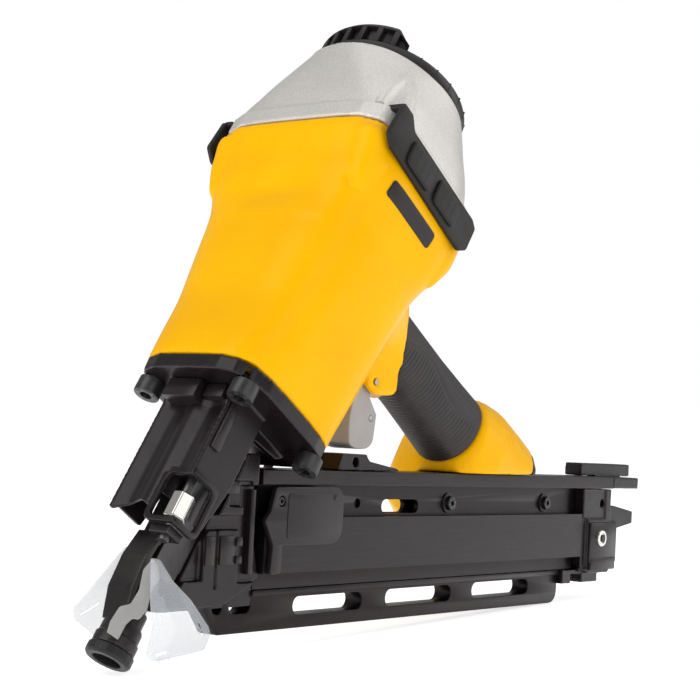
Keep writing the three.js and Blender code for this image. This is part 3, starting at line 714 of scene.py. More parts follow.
def settle(piece, place):
    # puts a piece drawn in millimetres where it belongs, with its place in its mesh
    pick(piece)
    bpy.ops.object.transform_apply(location=True, rotation=True, scale=True)
    piece.data.transform(place)
    if place.to_3x3().determinant() < 0:
        piece.data.flip_normals()
    piece.data.update()


def faceOutward(piece):
    pick(piece)
    bpy.ops.object.mode_set(mode="EDIT")
    bpy.ops.mesh.select_all(action="SELECT")
    bpy.ops.mesh.normals_make_consistent(inside=False)
    bpy.ops.object.mode_set(mode="OBJECT")


def dress(piece, slot, body, *replaced):
    piece.data.materials.clear()
    piece.data.materials.append(finishes[slot])
    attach(piece, body)
    if replaced:
        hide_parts(*replaced)


def finishPiece(piece, slot, body, *replaced):
    pick(piece)
    bpy.ops.object.shade_smooth_by_angle(angle=math.radians(32))
    dress(piece, slot, body, *replaced)


def joined(pieces, name):
    clearSelection()
    for piece in pieces:
        piece.select_set(True)
    bpy.context.view_layer.objects.active = pieces[0]
    bpy.ops.object.join()
    pieces[0].name = name
    return pieces[0]


def rounded(corners, steps=6):
    # corners as (x, y, radius): the outline with each corner turned into an arc
    points = []
    for i, (x, y, radius) in enumerate(corners):
        here = Vector((x, y))
        back = Vector(corners[i - 1][:2]) - here
        ahead = Vector(corners[(i + 1) % len(corners)][:2]) - here
        if radius <= 0:
            points.append(tuple(here))
            continue
        half = back.angle(ahead) / 2
        reach = min(radius / math.tan(half), back.length * 0.48, ahead.length * 0.48)
        start, end = here + back.normalized() * reach, here + ahead.normalized() * reach
        for step in range(steps + 1):
            u = step / steps
            points.append(tuple(start * (1 - u) ** 2 + here * 2 * u * (1 - u) + end * u * u))
    return points


def plateFrom(outlines, low, high, edge, name):
    # a flat plate between two heights, with softened rims; outlines after the first are holes
    curve = bpy.data.curves.new(name, "CURVE")
    curve.dimensions = "2D"
    curve.fill_mode = "BOTH"
    curve.extrude = (high - low) / 2 - edge
    curve.bevel_depth = edge
    curve.bevel_resolution = 2
    curve.offset = -edge
    for outline in outlines:
        spline = curve.splines.new("POLY")
        spline.points.add(len(outline) - 1)
        for point, (x, y) in zip(spline.points, outline):
            point.co = (x, y, 0, 1)
        spline.use_cyclic_u = True
    piece = bpy.data.objects.new(name, curve)
    bpy.context.collection.objects.link(piece)
    pick(piece)
    bpy.ops.object.convert(target="MESH")
    piece = bpy.context.object
    piece.data.transform(Matrix.Translation((0, 0, (low + high) / 2)))
    bpy.ops.object.mode_set(mode="EDIT")
    bpy.ops.mesh.select_all(action="SELECT")
    bpy.ops.mesh.remove_doubles(threshold=0.01)
    bpy.ops.mesh.normals_make_consistent(inside=False)
    bpy.ops.object.mode_set(mode="OBJECT")
    return piece


def spun(profile, name, steps=64):
    # a turned piece about the z axis, from (radius, height) points in millimetres
    clearSelection()
    bpy.ops.mesh.primitive_circle_add(vertices=len(profile), radius=1, fill_type="NOTHING")
    piece = bpy.context.object
    piece.name = name
    for vertex, (radius, height) in zip(piece.data.vertices, profile):
        vertex.co = (radius, 0, height)
    bpy.ops.object.mode_set(mode="EDIT")
    bpy.ops.mesh.select_all(action="SELECT")
    bpy.ops.mesh.spin(steps=steps, angle=math.tau, center=(0, 0, 0), axis=(0, 0, 1), use_auto_merge=True)
    bpy.ops.mesh.select_all(action="SELECT")
    bpy.ops.mesh.remove_doubles(threshold=0.02)
    bpy.ops.mesh.dissolve_degenerate(threshold=0.005)
    bpy.ops.mesh.normals_make_consistent(inside=False)
    bpy.ops.object.mode_set(mode="OBJECT")
    return piece


def block(low, high, edge, name, segments=2):
    # a box between two corners with softened edges, in millimetres
    clearSelection()
    centre = [(a + b) / 2 for a, b in zip(low, high)]
    size = [b - a for a, b in zip(low, high)]
    bpy.ops.mesh.primitive_cube_add(size=1, location=centre, scale=size)
    piece = bpy.context.object
    piece.name = name
    bpy.ops.object.transform_apply(location=True, rotation=True, scale=True)
    bpy.ops.object.mode_set(mode="EDIT")
    bpy.ops.mesh.select_all(action="SELECT")
    bpy.ops.mesh.bevel(offset=edge, segments=segments, affect="EDGES")
    bpy.ops.object.mode_set(mode="OBJECT")
    return piece


# smooth castings
castingLooks = {
    "housing": {"piece": "bodyCasting", "voxel": 1.2, "passes": 6,
                "plugs": ((-26.7, 29.3), (-26.7, -29.3), (32.3, 29.3), (32.3, -29.3))},
    "cylinder_cap": {"piece": "capCasting", "voxel": 0.9, "passes": 3},
    "handle_end": {"piece": "handleEndCasting", "voxel": 1.1, "passes": 12},
    "nose_casting": {"piece": "noseCasting", "voxel": 0.7, "passes": 3},
    "magazine_head": {"piece": "feedHead", "voxel": 0.55, "passes": 2, "cuts": (
        ((70, 9.4, 32), (91, 20, 78)), ((28, 9.4, 57), (71, 20, 64)), ((28, 9.4, 34), (46, 20, 58)),
        ((53.4, 10.6, 30), (55.4, 20, 60)), ((60, 11.2, 68), (76, 20, 80)))},
    "magazine_end_casting": {"piece": "magazineEnd", "voxel": 0.5, "passes": 3, "cuts": (
        ((431, 3, 58), (450, 20, 90)), ((396, 12.4, 59), (424, 20, 78)), ((396, 11.6, 28), (402, 20, 60)))},
    "rail_end_block": {"piece": "railEnd", "voxel": 0.6, "passes": 3},
    "rail_bracket": {"piece": "railLug", "voxel": 0.5, "passes": 3},
    "air_inlet_cap": {"piece": "inletCap", "voxel": 0.8, "passes": 4},
    "trigger": {"piece": "triggerLever", "voxel": 0.4, "passes": 5},
    "trip_foot": {"piece": "tripFoot", "voxel": 0.4, "passes": 2},
    "no_mar_tip": {"piece": "noMarTip", "voxel": 0.35, "passes": 3},
    "piston_bumper": {"piece": "pistonBumper", "voxel": 1.0, "passes": 3},
}
plugLook = {"radius": 5, "low": 139.6, "high": 156}  # fills a bolt hole, whose bolt hides it


def plugAt(x, y):
    clearSelection()
    low, high = plugLook["low"], plugLook["high"]
    bpy.ops.mesh.primitive_cylinder_add(vertices=20, radius=plugLook["radius"], depth=high - low,
                                        location=(x, y, (low + high) / 2))
    plug = bpy.context.object
    settle(plug, driveFrame)
    return plug


def carve(piece, low, high, place):
    corners = [sorted(pair) for pair in zip(low, high)]
    cutter = block([pair[0] for pair in corners], [pair[1] for pair in corners], 0.6, "cutter")
    settle(cutter, place)
    apply(piece, "BOOLEAN", object=cutter, operation="DIFFERENCE", solver="EXACT")
    bpy.data.objects.remove(cutter)


def castingOf(node, look):
    piece = copyOfNode(node, look["piece"])
    plugs = [plugAt(x, y) for x, y in look.get("plugs", ())]
    if plugs:
        piece = joined([piece] + plugs, look["piece"])
    for low, high in look.get("cuts", ()):
        for side in (-1, 1):
            carve(piece, (low[0], side * low[1], low[2]), (high[0], side * high[1], high[2]), magazineFrame)
    apply(piece, "REMESH", mode="VOXEL", voxel_size=look["voxel"] * mm)
    apply(piece, "SMOOTH", factor=0.5, iterations=look["passes"])
    pick(piece)
    bpy.ops.object.shade_smooth()
    dress(piece, slotOf[node], bodyOf[node], node)
    return piece


castings = {node: castingOf(node, look) for node, look in castingLooks.items()}
print("stage: castings smoothed", sum(len(piece.data.polygons) for piece in castings.values()))

# small metal and plastic pieces with softened edges
edgeLooks = {
    "magazine_body": 0.35, "magazine_top_rail": 0.5, "nail_pusher": 0.4, "magazine_latch": 0.6,
    "trip_arm": 0.4, "depth_nut": 0.6, "nose_guide": 0.4, "contact_lever": 0.3, "driver_blade": 0.3,
}  # width of each softened edge, in millimetres


def edgedCopy(node, width):
    piece = copyOfNode(node, node.title().replace("_", "") + "Edged")
    bpy.ops.object.mode_set(mode="EDIT")
    bpy.ops.mesh.select_all(action="SELECT")
    bpy.ops.mesh.dissolve_limited(angle_limit=math.radians(2))
    bpy.ops.object.mode_set(mode="OBJECT")
    apply(piece, "BEVEL", width=width * mm, segments=2, limit_method="ANGLE", angle_limit=math.radians(35))
    finishPiece(piece, slotOf[node], bodyOf[node], node)
    apply(piece, "WEIGHTED_NORMAL", keep_sharp=True)


for node, width in edgeLooks.items():
    edgedCopy(node, width)
print("stage: edges softened")

# yellow body: work on the smoothed casting; t, y, s are millimetres in the drive's own frame
bodyShape = {
    "low": 222, "high": 258,  # the shoulder grows between these heights
    "barrel": (44.2, 48.4, 3.7), "shoulder": (47.5, 56.0, 4.6), "across": 1.8,  # half widths and squareness
    "skin": 38, "skirtSkin": 30, "bore": 36, "reach": (0.86, 1.12),  # what counts as the outside
    "skirt": (180, 38, 4.2), "brow": (254, 22, 4.6),  # height, fade and how far the front is drawn out
    "joint": 274, "jointCover": 0.45,  # the rim above the joint is moved so that no gap shows
    "hollowAt": (-4, 238), "hollowSize": (27, 8), "hollowDepth": 2.6,
    "dimpleAt": (-44, 244), "dimpleSize": 2.6, "dimpleDepth": 2.4, "dentsFrom": -26, "dentSkin": 40,
    "plate": {"centre": (-3, 252), "half": (21, 4.6), "corner": 2, "thick": 0.5, "from": -70, "gap": 0.25},
}


def sculpt(piece, place, move):
    back = place.inverted()
    for vertex in piece.data.vertices:
        vertex.co = place @ move(back @ vertex.co)
    piece.data.update()


def smoothArea(piece, place, inside, passes):
    # smooths only the vertices whose place, in a tool frame, passes the test
    back = place.inverted()
    area = piece.vertex_groups.new(name="area")
    area.add([vertex.index for vertex in piece.data.vertices if inside(*(back @ vertex.co))], 1, "REPLACE")
    apply(piece, "SMOOTH", factor=0.5, iterations=passes, vertex_group="area")
    piece.vertex_groups.clear()


def bell(distance, size):
    return math.exp(-((distance / size) ** 2))


def easing(value):
    value = min(1, max(0, value))
    return value * value * (3 - 2 * value)


def frontness(t):
    # nothing at the middle of a casting, one at its front
    return easing((-t - 10) / 30)


def workBody(point):
    # the barrel swells smoothly into the shoulder that carries the cap
    t, y, s = point
    shape = bodyShape
    skirtTop, skirtFade, skirtOut = shape["skirt"]
    browLow, browFade, browOut = shape["brow"]
    brow = browOut * easing((s - browLow) / browFade)
    if math.hypot(t, y) > (shape["skin"] if s > skirtTop else shape["skirtSkin"]):
        t -= (skirtOut * easing((skirtTop - s) / skirtFade) + brow) * frontness(t)
    if s > shape["joint"]:
        return Vector((t, y, s + shape["jointCover"]))
    if s < shape["low"]:
        return Vector((t, y, s))
    u = easing((s - shape["low"]) / (shape["high"] - shape["low"]))
    halfT, halfY, power = (a + (b - a) * u for a, b in zip(shape["barrel"], shape["shoulder"]))
    x = t - shape["across"] + brow * frontness(t)
    reach = (abs(x / halfT) ** power + abs(y / halfY) ** power) ** (1 / power)
    nearest, farthest = shape["reach"]
    if reach < nearest or math.hypot(x, y) < shape["bore"]:
        return Vector((t, y, s))
    grown = max(1, 1 / reach) if reach < farthest else 1
    return Vector((t + x * (grown - 1), y * grown, s))


def workDents(point):
    # a shallow hollow under the brow, and one small dimple near its corner
    t, y, s = point
    shape = bodyShape
    if t > shape["dentsFrom"] or math.hypot(t, y) < shape["dentSkin"]:
        return point
    across, along = shape["hollowSize"]
    middleY, middleS = shape["hollowAt"]
    t += shape["hollowDepth"] * bell(y - middleY, across) * bell(s - middleS, along)
    gap = math.hypot(y - shape["dimpleAt"][0], s - shape["dimpleAt"][1])
    kept = 1 - shape["dimpleDepth"] * bell(gap, shape["dimpleSize"]) / math.hypot(t, y)
    return Vector((t * kept, y * kept, s))


def onBarrel(t, y, s):
    return 143 < s < 272 and math.hypot(t, y) > 35 and (t < 52 or s > 224)


def underBrow(t, y, s):
    return 225 < s < 255 and t < -24 and math.hypot(t, y) > 38


body = castings["housing"]
sculpt(body, driveFrame, workBody)
smoothArea(body, driveFrame, onBarrel, 26)
sculpt(body, driveFrame, workDents)
smoothArea(body, driveFrame, underBrow, 2)

capShape = {
    "joint": 281, "jointCover": 0.45, "skin": 38, "inside": 37, "reach": 0.8, "browFade": (290, 40, 0.3),
    "bolts": ((-34, 43.5), (-34, -43.5), (37, 43.5), (37, -43.5)),
    "low": 288.4, "high": 318, "depth": 3, "width": 7.5, "edge": 3, "ridge": 0.8, "ridgeWidth": 2,
    # height, offset, half widths, squareness
    "dome": ((288, 1.7, 46.2, 53.6, 4.6), (296, 1.3, 46.1, 52.4, 4), (306, 0.9, 45.8, 50.4, 3.4),
             (318, 0.4, 45.2, 47.6, 2.7), (334, 0, 43.9, 43.9, 2)),
}


def domeReach(t, y, s):
    # how far out a point lies in the dome's section at its own height, 1 on the skin
    stations = capShape["dome"]
    for before, after in zip(stations, stations[1:]):
        if s <= after[0]:
            u = min(1, max(0, (s - before[0]) / (after[0] - before[0])))
            across, halfT, halfY, power = (a + (b - a) * u for a, b in zip(before[1:], after[1:]))
            return (abs((t - across) / halfT) ** power + abs(y / halfY) ** power) ** (1 / power)
    return 1


def workCap(point):
    # a tear-shaped scoop runs up the dome over each cap bolt, with a raised rim
    t, y, s = point
    shape = capShape
    fadeFrom, fadeOver, faded = shape["browFade"]
    brow = bodyShape["brow"][2] * (1 - faded * easing((s - fadeFrom) / fadeOver))
    if math.hypot(t, y) > shape["skin"]:
        t -= brow * frontness(t)
    if s < shape["joint"]:
        return Vector((t, y, s - shape["jointCover"]))
    if s < shape["low"] or math.hypot(t, y) < shape["inside"]:
        return Vector((t, y, s))
    reach = domeReach(t + brow * frontness(t), y, s)
    if reach > shape["reach"]:
        t, y = t / reach, y / reach
    angle, radius = math.atan2(y, t), math.hypot(t, y)
    for boltT, boltY in shape["bolts"]:
        turn = (angle - math.atan2(boltY, boltT) + math.pi) % math.tau - math.pi
        rise = (s - shape["low"]) / (shape["high"] - shape["low"])
        width = shape["width"] * max(0, 1 - rise) ** 0.5
        across = abs(turn) * radius
        if width > 0:
            radius -= shape["depth"] * easing((width - across) / shape["edge"]) * (1 - rise)
        ridge = shape["ridge"] * bell(across - width - 1, shape["ridgeWidth"])
        radius += ridge * min(1, max(0, 1.15 - rise))
    grown = radius / math.hypot(t, y)
    return Vector((t * grown, y * grown, s))


def onDome(t, y, s):
    return 290 < s < 331 and math.hypot(t, y) > capShape["inside"]


sculpt(castings["cylinder_cap"], driveFrame, workCap)
smoothArea(castings["cylinder_cap"], driveFrame, onDome, 6)


def addBlankPlate(look):
    clearSelection()
    bpy.ops.mesh.primitive_grid_add(x_subdivisions=42, y_subdivisions=10, size=2)
    plate = bpy.context.object
    plate.name = "blankPlate"
    halfT, halfS = look["half"]
    for vertex in plate.data.vertices:
        x, z = vertex.co.x * halfT, vertex.co.y * halfS
        overX, overZ = abs(x) - halfT + look["corner"], abs(z) - halfS + look["corner"]
        if overX > 0 and overZ > 0:
            pull = min(1, look["corner"] / math.hypot(overX, overZ))
            x = math.copysign(halfT - look["corner"] + overX * pull, x)
            z = math.copysign(halfS - look["corner"] + overZ * pull, z)
        vertex.co = (x + look["centre"][0], look["from"], z + look["centre"][1])
    settle(plate, driveFrame)
    apply(plate, "SHRINKWRAP", target=body, wrap_method="PROJECT", use_project_y=True,
          use_positive_direction=True, use_negative_direction=False, offset=look["gap"] * mm)
    apply(plate, "SOLIDIFY", thickness=look["thick"] * mm, offset=0)
    apply(plate, "BEVEL", width=0.15 * mm, segments=2, limit_method="ANGLE")
    finishPiece(plate, "black_plastic", "tool")


addBlankPlate(bodyShape["plate"])
print("stage: body worked")

# exhaust turret: chamfered ring, louvred hood over part of it
turretLook = {
    "ring": [(3.4, 341.4), (8, 341.4), (9, 345.2), (35, 344.6), (39, 343.4), (43, 340.4), (43.8, 339),
             (43.8, 334.3), (43.4, 333.95), (38.6, 333.95), (36, 338), (3.4, 338)],
    "hood": [(12, 352.6), (12, 355.6), (31, 355.4), (38.6, 354.2), (42.2, 352.2), (43.6, 350.2),
             (43.8, 349.2), (40.2, 349.4), (40.2, 337), (38.4, 337), (38.4, 351), (36, 352.6)],
    "hoodCentre": 150, "hoodHalf": 76, "chamfer": 13, "ringTop": 342,
    "ribs": 11, "ribPitch": 12.6, "rib": ((39.4, -1.6, 334.4), (43.75, 1.6, 350.2)),
    "ticks": 26, "tick": ((42.6, -0.45, 334.8), (44, 0.45, 340.4)),
}


def addTurret(look):
    ring = spun(look["ring"], "exhaustRing", steps=96)
    hood = spun(look["hood"], "exhaustHood", steps=180)
    centre, half = math.radians(look["hoodCentre"]), math.radians(look["hoodHalf"])

    def fromCentre(co):
        return (math.atan2(co.y, co.x) - centre + math.pi) % math.tau - math.pi

    pick(hood)
    bpy.ops.object.mode_set(mode="EDIT")
    bpy.ops.mesh.select_all(action="DESELECT")
    bpy.ops.object.mode_set(mode="OBJECT")
    for vertex in hood.data.vertices:
        vertex.select = abs(fromCentre(vertex.co)) > half
    bpy.ops.object.mode_set(mode="EDIT")
    bpy.ops.mesh.delete(type="VERT")
    bpy.ops.mesh.select_all(action="SELECT")
    bpy.ops.mesh.region_to_loop()
    bpy.ops.mesh.edge_face_add()
    bpy.ops.mesh.select_all(action="SELECT")
    bpy.ops.mesh.fill_holes(sides=20)
    bpy.ops.mesh.normals_make_consistent(inside=False)
    bpy.ops.object.mode_set(mode="OBJECT")
    chamfer = math.radians(look["chamfer"])
    for vertex in hood.data.vertices:
        room = max(0, (half - abs(fromCentre(vertex.co))) / chamfer)
        if room < 1 and vertex.co.z > look["ringTop"]:
            vertex.co.z = look["ringTop"] + (vertex.co.z - look["ringTop"]) * room
    pieces = [ring, hood]
    for k in range(look["ribs"]):
        rib = block(*look["rib"], 0.5, "exhaustRib")
        turn = look["hoodCentre"] + (k - (look["ribs"] - 1) / 2) * look["ribPitch"]
        rib.data.transform(Matrix.Rotation(math.radians(turn), 4, "Z"))
        pieces.append(rib)
    for k in range(look["ticks"]):
        turn = k * 360 / look["ticks"]
        if abs((turn - look["hoodCentre"] + 180) % 360 - 180) < look["hoodHalf"]:
            continue
        tick = block(*look["tick"], 0.3, "exhaustTick", segments=1)
        tick.data.transform(Matrix.Rotation(math.radians(turn), 4, "Z"))
        pieces.append(tick)
    turret = joined(pieces, "exhaustTurret")
    settle(turret, driveFrame)
    apply(turret, "BEVEL", width=0.35 * mm, segments=2, limit_method="ANGLE", angle_limit=math.radians(40))
    finishPiece(turret, "black_plastic", "exhaust_cap", "exhaust_cap")


addTurret(turretLook)
print("stage: exhaust turret built")

# rubber grip: hoop ribs round the palm side, smooth spine between two seams
gripLook = {
    "voxel": 0.55, "passes": 22, "axisHeight": 233.5, "skin": 18.2, "start": 61, "end": 157, "lead": 12,
    "pitch": 2.7, "depth": 0.42, "endGap": 3, "fade": 4, "sideGap": 0.08, "sideFade": 0.12,
    "spine": (1.5, 0.2, 1.4), "inner": 0.3, "innerShare": 0.7, "seamDepth": 0.55, "seamWidth": 0.05,
}


def workGrip(point):
    # hoops sunk into the palm side and two seams beside the spine; angles are radians from its top
    look = gripLook
    t, y, s = point
    up = s - look["axisHeight"]
    radius = math.hypot(y, up)
    if radius < look["skin"] or t < look["start"] - look["lead"]:
        return point
    angle = abs(math.atan2(y, up))
    along = (t - look["start"]) / (look["end"] - look["start"])
    middle, swing, turns = look["spine"]
    spine = middle + swing * math.cos(math.tau * turns * min(max(along, 0), 1))
    ends = min(1, max(0, look["end"] - look["endGap"] - t) / look["fade"])
    sides = min(1, max(0, (angle - spine - look["sideGap"]) / look["sideFade"]))
    wave = 0.5 + 0.5 * math.cos(math.tau * t / look["pitch"])
    outerSeam = bell(angle - spine, look["seamWidth"])
    innerSeam = bell(angle - spine * 0.5 - look["inner"], look["seamWidth"])
    seams = outerSeam + look["innerShare"] * innerSeam
    sunk = look["depth"] * wave ** 2 * ends * sides + look["seamDepth"] * seams * ends
    shrink = (radius - sunk) / radius
    return Vector((t, y * shrink, look["axisHeight"] + up * shrink))


def addGrip(look):
    grip = copyOfNode("rubber_grip", "gripSleeve")
    apply(grip, "REMESH", mode="VOXEL", voxel_size=look["voxel"] * mm)
    apply(grip, "SMOOTH", factor=0.5, iterations=look["passes"])
    sculpt(grip, driveFrame, workGrip)
    pick(grip)
    bpy.ops.object.shade_smooth()
    dress(grip, "grip_rubber", "tool", "rubber_grip")


addGrip(gripLook)
print("stage: grip ribbed")

# side bumpers: curved strip with two ribbed pads
bumperLook = {
    "strip": [(-38, 263.4, 2), (36, 261.6, 4), (41, 266, 3), (41, 280, 2), (36, 282.6, 3), (-29, 282.6, 4),
              (-35, 288.2, 3), (-43.5, 287.8, 3), (-45, 268, 3)],
    "hooks": {-1: ((-43, 285.2, 42), (-35.6, 289, 58.4)), 1: ((-43, 285.2, 52), (-35.6, 288.4, 58.4))},
    "stripDepth": (56.25, 58.9),
    "pads": [(-27, -4), (1, 23)], "padHeight": (265.2, 279.2), "padDepth": (58.2, 60.7),
    "ridges": 3, "ridgeHalf": 0.35, "ridgeGap": 2, "ridgeDepth": (-0.5, 0.08),
}


def addBumper(side, hand, look):
    towards = Matrix(((1, 0, 0, 0), (0, 0, side, 0), (0, 1, 0, 0), (0, 0, 0, 1)))
    pieces = [plateFrom([rounded(look["strip"])], *look["stripDepth"], 0.7, "bumperStrip")]
    low, high = look["padHeight"]
    top = look["padDepth"][1]
    for start, end in look["pads"]:
        outline = rounded([(start, low, 4.5), (end, low, 2.5), (end, high, 4.5), (start, high, 2.5)])
        pieces.append(plateFrom([outline], *look["padDepth"], 1.0, "bumperPad"))
        for k in range(look["ridges"]):
            x = start + (end - start) * (k + 1.3) / (look["ridges"] + 1.4)
            inner = (x - look["ridgeHalf"], low + look["ridgeGap"], top + look["ridgeDepth"][0])
            outer = (x + look["ridgeHalf"], high - look["ridgeGap"], top + look["ridgeDepth"][1])
            pieces.append(block(inner, outer, 0.15, "bumperRidge", segments=1))
    pieces.append(block(*look["hooks"][side], 1.4, "bumperHook"))
    bumper = joined(pieces, "bumper" + hand.title())
    settle(bumper, driveFrame @ towards)
    finishPiece(bumper, "bumper_rubber", "tool", "side_bumper_" + hand)


addBumper(-1, "left", bumperLook)
addBumper(1, "right", bumperLook)

# nose: fluted front, framed window for the adjuster
noseLook = {
    "front": -19.6, "low": 62, "high": 131, "ridge": 2.3, "ridgePitch": 20, "ridgeAt": -1,
    "fade": 10, "wave": 2.6, "waveLength": 30, "lipTop": 72, "flange": 121, "flangeOut": 3.2,
    "sideFrame": [(-23, 87.5, 1), (-4.6, 87.5, 4), (-4.6, 59.5, 5), (-23, 59.5, 1), (-23, 62, 0.6),
                  (-7.2, 62, 4), (-7.2, 84.4, 4), (-23, 84.4, 0.6)],
    "frontFrame": [(22.2, 87.5, 1), (2.8, 87.5, 4), (2.8, 59.5, 5), (22.2, 59.5, 1), (22.2, 62, 0.6),
                   (5.4, 62, 4), (5.4, 84.4, 4), (22.2, 84.4, 0.6)],
    "sideDepth": (19.4, 22.2), "frontDepth": (20.4, 23.2),
    "blocks": [((-31, -5, 121), (-20, 15, 131)), ((-27, -18, 124), (-20, -6, 131)),
               ((-22, -22.4, 100), (-16, -18, 131)), ((-21, -3.3, 76.3), (-4, -2.3, 90))],
}


def workNose(point):
    # flutes down the front, a wavy lower lip, and a flange that meets the skirt
    look = noseLook
    t, y, s = point
    if t < look["front"] and look["low"] < s < look["high"]:
        fade = min(1, (look["high"] - s) / look["fade"])
        flute = 0.5 + 0.5 * math.cos(math.tau * (y - look["ridgeAt"]) / look["ridgePitch"])
        t -= look["ridge"] * flute * fade
        if s < look["lipTop"]:
            s += look["wave"] * math.sin(math.tau * (y + 4) / look["waveLength"]) * (look["lipTop"] - s) / 6
    if s > look["flange"]:
        t -= look["flangeOut"] * easing((s - look["flange"]) / 3) * frontness(t)
    return Vector((t, y, s))


sculpt(castings["nose_casting"], driveFrame, workNose)
# these stand a flat plate up, facing sideways or forwards
onSide = Matrix(((1, 0, 0, 0), (0, 0, -1, 0), (0, 1, 0, 0), (0, 0, 0, 1)))
onFront = Matrix(((0, 0, -1, 0), (-1, 0, 0, 0), (0, 1, 0, 0), (0, 0, 0, 1)))


def addWindowFrame(look):
    side = plateFrom([rounded(look["sideFrame"])], *look["sideDepth"], 0.5, "windowSide")
    side.data.transform(onSide)
    front = plateFrom([rounded(look["frontFrame"])], *look["frontDepth"], 0.5, "windowFront")
    front.data.transform(onFront)
    pieces = [side, front] + [block(*corners, 0.8, "noseBlock") for corners in look["blocks"]]
    windowFrame = joined(pieces, "windowFrame")
    settle(windowFrame, driveFrame)
    finishPiece(windowFrame, "black_casting", "tool")


addWindowFrame(noseLook)

# socket screws
screwLook = {
    "nose": {"radius": 6.5, "height": 8, "key": 3.3, "depth": 4, "edge": 0.7},
    "magazine": {"radius": 3.9, "height": 3.2, "key": 1.7, "depth": 1.8, "edge": 0.5, "washer": 5.6},
}


def socketScrew(look, name):
    # the head rises along z from zero, with a hexagon key recess in its top
    top, radius, edge = look["height"], look["radius"], look["edge"]
    profile = [(0, 0), (radius, 0), (radius, top - edge), (radius - edge * 0.3, top - edge * 0.3),
               (radius - edge, top), (0, top)]
    if "washer" in look:
        profile = [(0, 0), (look["washer"], 0), (look["washer"], 0.7), (radius, 0.9)] + profile[2:]
    head = spun(profile, name, steps=48)
    clearSelection()
    bpy.ops.mesh.primitive_cylinder_add(vertices=6, radius=look["key"], depth=look["depth"] * 2,
                                        location=(0, 0, top))
    key = bpy.context.object
    apply(head, "BOOLEAN", object=key, operation="DIFFERENCE", solver="EXACT")
    bpy.data.objects.remove(key)
    return head


def towardsOf(place, at, axis):
    # frame whose z runs along an axis of a tool frame, in millimetres, from a point in it
    z = Vector(axis).normalized()
    x = z.orthogonal().normalized()
    turn = Matrix((x, z.cross(x), z)).transposed().to_4x4()
    return place @ Matrix.Translation(at) @ turn


def addNoseScrews(look):
    base = driveFrame.inverted()
    for k in range(1, 5):
        node = f"nose_bolt_{k}"
        screw = socketScrew(look, node.title().replace("_", ""))
        low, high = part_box(node)
        middle = base @ ((low + high) / 2)
        shank = copyOfNode(node, "shank")
        tops = [base @ vertex.co for vertex in shank.data.vertices]
        head = min(tops, key=lambda point: point.z).z
        bpy.data.objects.remove(shank)
        centre = Vector((middle.x, middle.y, head + look["height"]))
        ring = [point for point in tops if point.z < head + 0.1]
        centre.x = sum(point.x for point in ring) / len(ring)
        centre.y = sum(point.y for point in ring) / len(ring)
        settle(screw, towardsOf(driveFrame, centre, (0, 0, -1)))
        finishPiece(screw, "dark_fastener", "tool", node)


addNoseScrews(screwLook["nose"])


def addMagazineScrews(look):
    base = magazineFrame.inverted()
    for k in (1, 2):
        node = f"magazine_screw_{k}"
        screw = socketScrew(look, node.title().replace("_", ""))
        low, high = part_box(node)
        centre = base @ ((low + high) / 2)
        outer = base @ low
        settle(screw, towardsOf(magazineFrame, (centre.x, outer.y + look["height"], centre.z), (0, -1, 0)))
        finishPiece(screw, "dark_fastener", "tool", node)


addMagazineScrews(screwLook["magazine"])
print("stage: nose and screws done")

# debris shields: two clear flaps, and the grey clip that holds them to the foot
flapLook = {
    "right": [(-15, 45, 1), (-9.5, 47.5, 3), (1, 42.5, 6), (16, 41.5, 8), (36, 36.5, 4), (31, 24, 6),
              (16, 12.5, 8), (-6.4, -3.2, 3), (-11, -2.4, 2), (-8.6, 12, 8), (-12, 24, 10)],
    "left": [(-12, 51, 2), (-5, 54, 3), (10, 52, 6), (26, 40, 8), (25, 26, 6), (12, 12.4, 6),
             (-5.5, 12.2, 2), (-9.6, 15.6, 2), (-10.6, 31, 8)],
    "rivets": {"right": [(25.4, 33.6), (28.4, 31.4)], "left": [(17, 30.5)]},
    "slits": {"right": [((-4.4, 1), (2.4, 6.4)), ((-1.4, -0.4), (4.4, 4.4))],
              "left": [((-3.4, 16), (-0.4, 24.4))]},
    "replaced": {"right": "debris_shield_left", "left": "debris_shield_right"},
    "thick": 1.0, "turn": 0.42, "hinge": (13.4, 44), "curl": 0.0016, "curlFrom": 8,
    "rivetRadius": 1.5, "rivetSides": 14,
}


def slitOutline(start, end, half=0.55):
    # a narrow slot between two points, with square ends
    along = (Vector(end) - Vector(start)).normalized() * half
    side = Vector((-along.y, along.x))
    a, b = Vector(start), Vector(end)
    corners = (a + side - along, b + side + along, b - side + along, a - side - along)
    return [tuple(corner) for corner in corners]


def holeOutline(x, y, radius, sides):
    turns = [math.tau * k / sides for k in range(sides)]
    return [(x + radius * math.cos(turn), y + radius * math.sin(turn)) for turn in turns]


def addFlap(hand, look):
    holes = [holeOutline(x, y, look["rivetRadius"], look["rivetSides"]) for x, y in look["rivets"][hand]]
    slits = [slitOutline(*ends) for ends in look["slits"][hand]]
    half = look["thick"] / 2
    flap = plateFrom([rounded(look[hand])] + holes + slits, -half, half, 0.2, f"shield{hand.title()}")
    outward = -1 if hand == "right" else 1
    hingeY, hingeS = look["hinge"]
    apply(flap, "TRIANGULATE")
    for vertex in flap.data.vertices:
        x, up, depth = vertex.co
        sag = look["curl"] * (x - look["curlFrom"]) ** 2
        vertex.co = (x, depth - outward * sag, up - hingeS)
    flap.data.transform(Matrix.Rotation(outward * look["turn"], 4, "X"))
    flap.data.transform(Matrix.Translation((0, outward * hingeY, hingeS)))
    settle(flap, driveFrame)
    faceOutward(flap)
    finishPiece(flap, "clear_plastic", "trip_foot", look["replaced"][hand])


addFlap("right", flapLook)
addFlap("left", flapLook)

